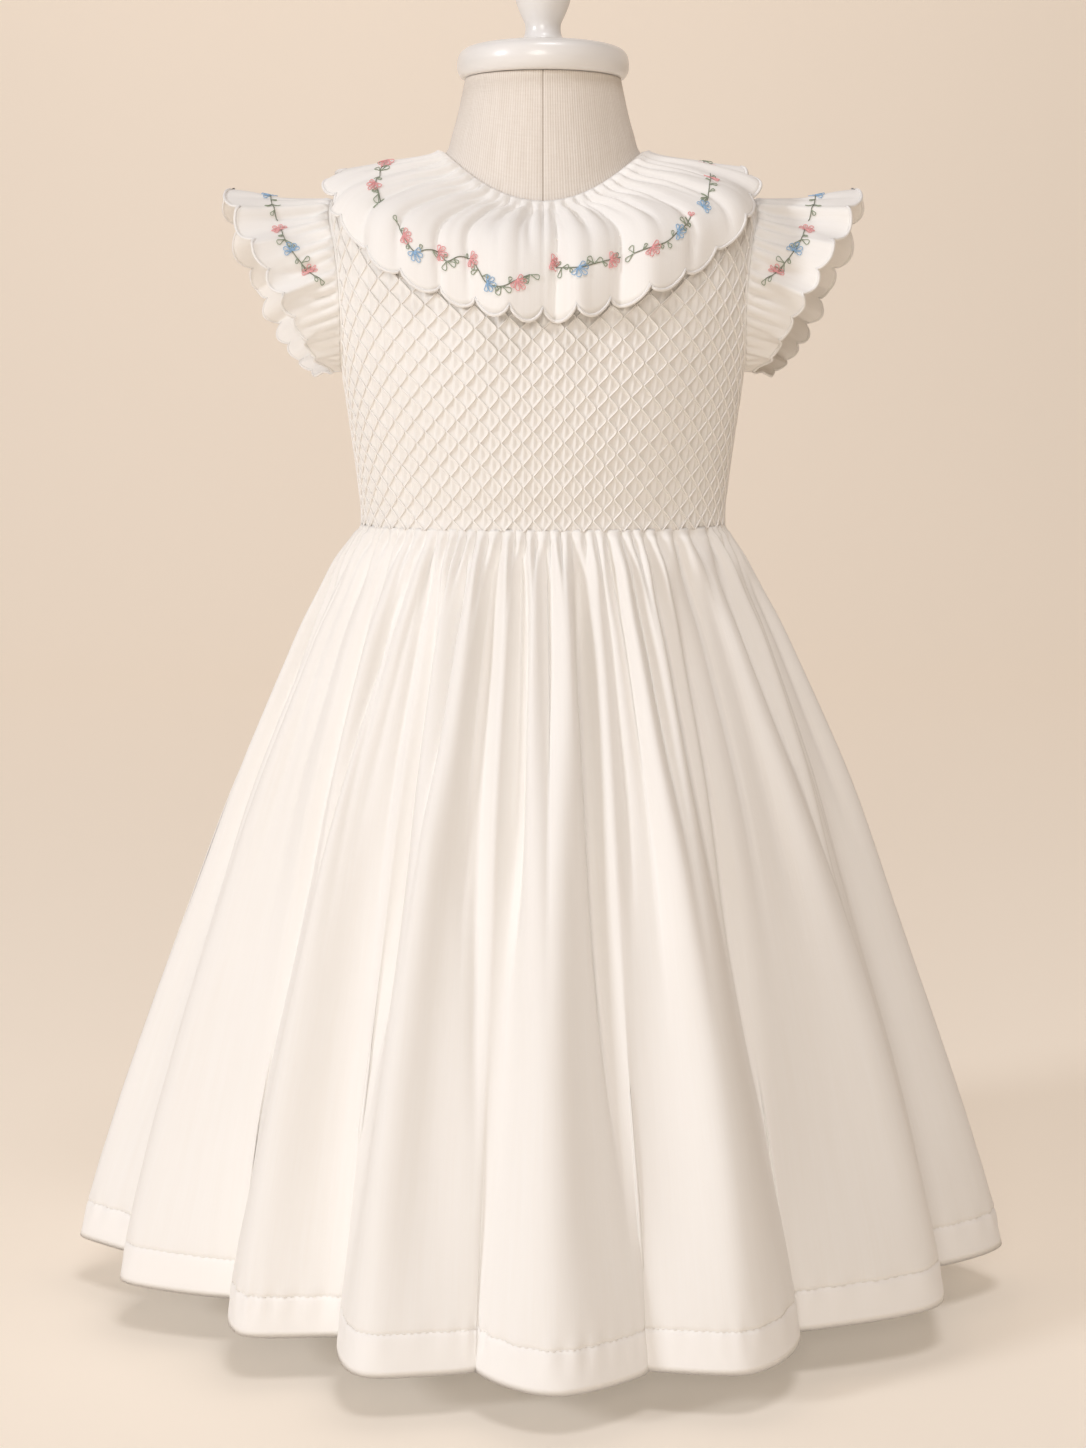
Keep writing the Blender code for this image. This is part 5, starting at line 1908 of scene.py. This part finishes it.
@dataclass(frozen=True)
class Studio:
    """Beige paper sweep, soft lights and the camera."""
    camera_place: tuple[float, float, float] = (0.0, -1.30, 0.476)
    camera_tilt: float = 7.3
    focal_pixels: float = 2450.0
    frame_pixels: float = 1448.0
    lights: tuple[Light, ...] = (
        Light("Key light", (-4.1, -2.5, 2.2), (0.0, 0.0, 0.36), 1.0, 92.0, (0.88, 0.92, 1.0)),
        Light("Front light", (-0.5, -4.6, 1.8), (0.0, 0.0, 0.36), 1.8, 54.0, (0.98, 0.95, 0.92)),
        Light("Top light", (0.3, -1.2, 3.2), (0.0, 0.0, 0.3), 1.1, 26.0, (0.93, 0.94, 1.0)),
        Light("Backdrop light", (-0.6, 2.3, 3.4), (-0.3, 5.0, 0.6), 1.4, 22.0, (1.0, 0.95, 0.97)),
    )
    ambient: Colour = (1.0, 0.74, 0.51)
    ambient_strength: float = 0.215

    def sweep(self) -> None:
        """The paper, from the floor up the wall in one curve."""
        bend, wall_y, half = 2.0, 5.0, 12.0
        turn = np.linspace(0, math.pi / 2, 40)
        floor = [(-6.0, 0.0), (-1.0, 0.0), (1.0, 0.0)]
        arc = [(wall_y - bend + bend * math.sin(t), bend - bend * math.cos(t)) for t in turn]
        line = np.array(floor + arc + [(wall_y, 3.0), (wall_y, 6.0)])
        across = np.linspace(-half, half, 9)
        points = np.stack(np.broadcast_arrays(across[None, :], line[:, None, 0], line[:, None, 1]), axis=-1)
        paper = grid_object("paper_sweep", points.copy(), points[..., :2])
        paper.data.materials.append(BackdropPaper().material())

    def camera(self) -> None:
        """The camera at the photograph's viewing angle."""
        lens = bpy.data.cameras.new("Camera")
        lens.sensor_width = 36.0
        lens.lens = self.focal_pixels / self.frame_pixels * lens.sensor_width
        made = bpy.data.objects.new("Camera", lens)
        bpy.context.collection.objects.link(made)
        made.location = self.camera_place
        made.rotation_euler = (math.radians(90 - self.camera_tilt), 0, 0)
        bpy.context.scene.camera = made

    def build(self) -> None:
        """Set up the studio."""
        self.camera()
        self.sweep()
        for light in self.lights:
            light.build()
        world = bpy.data.worlds.new("Studio air")
        bpy.context.scene.world = world
        world.use_nodes = True
        air = world.node_tree.nodes["Background"]
        air.inputs["Color"].default_value = (*self.ambient, 1.0)
        air.inputs["Strength"].default_value = self.ambient_strength
        bpy.context.scene.view_settings.view_transform = "Standard"
        bpy.context.scene.view_settings.look = "None"


def main() -> None:
    """Build the studio, the form and the dress."""
    logging.basicConfig(level=logging.INFO, format="%(name)s: %(message)s")
    Studio().build()
    DressForm().build()
    Bodice().build()
    Skirt().build()
    collar = Collar()
    collar.build()
    Embroidery("collar_vine", collar.surface, facing=-1, degrees=True, vines=vines(COLLAR_VINES),
               size_across=0.0016, size_down=0.062).build()
    for side, mirror in (("left", 1), ("right", -1)):
        sleeve = FlutterSleeve(side, mirror)
        sleeve.build()
        Embroidery(f"sleeve_{side}_vine", sleeve.surface, facing=-mirror, degrees=False,
                   vines=vines(SLEEVE_VINES), size_across=0.10, size_down=0.045).build()


if __name__ == "__main__":
    main()
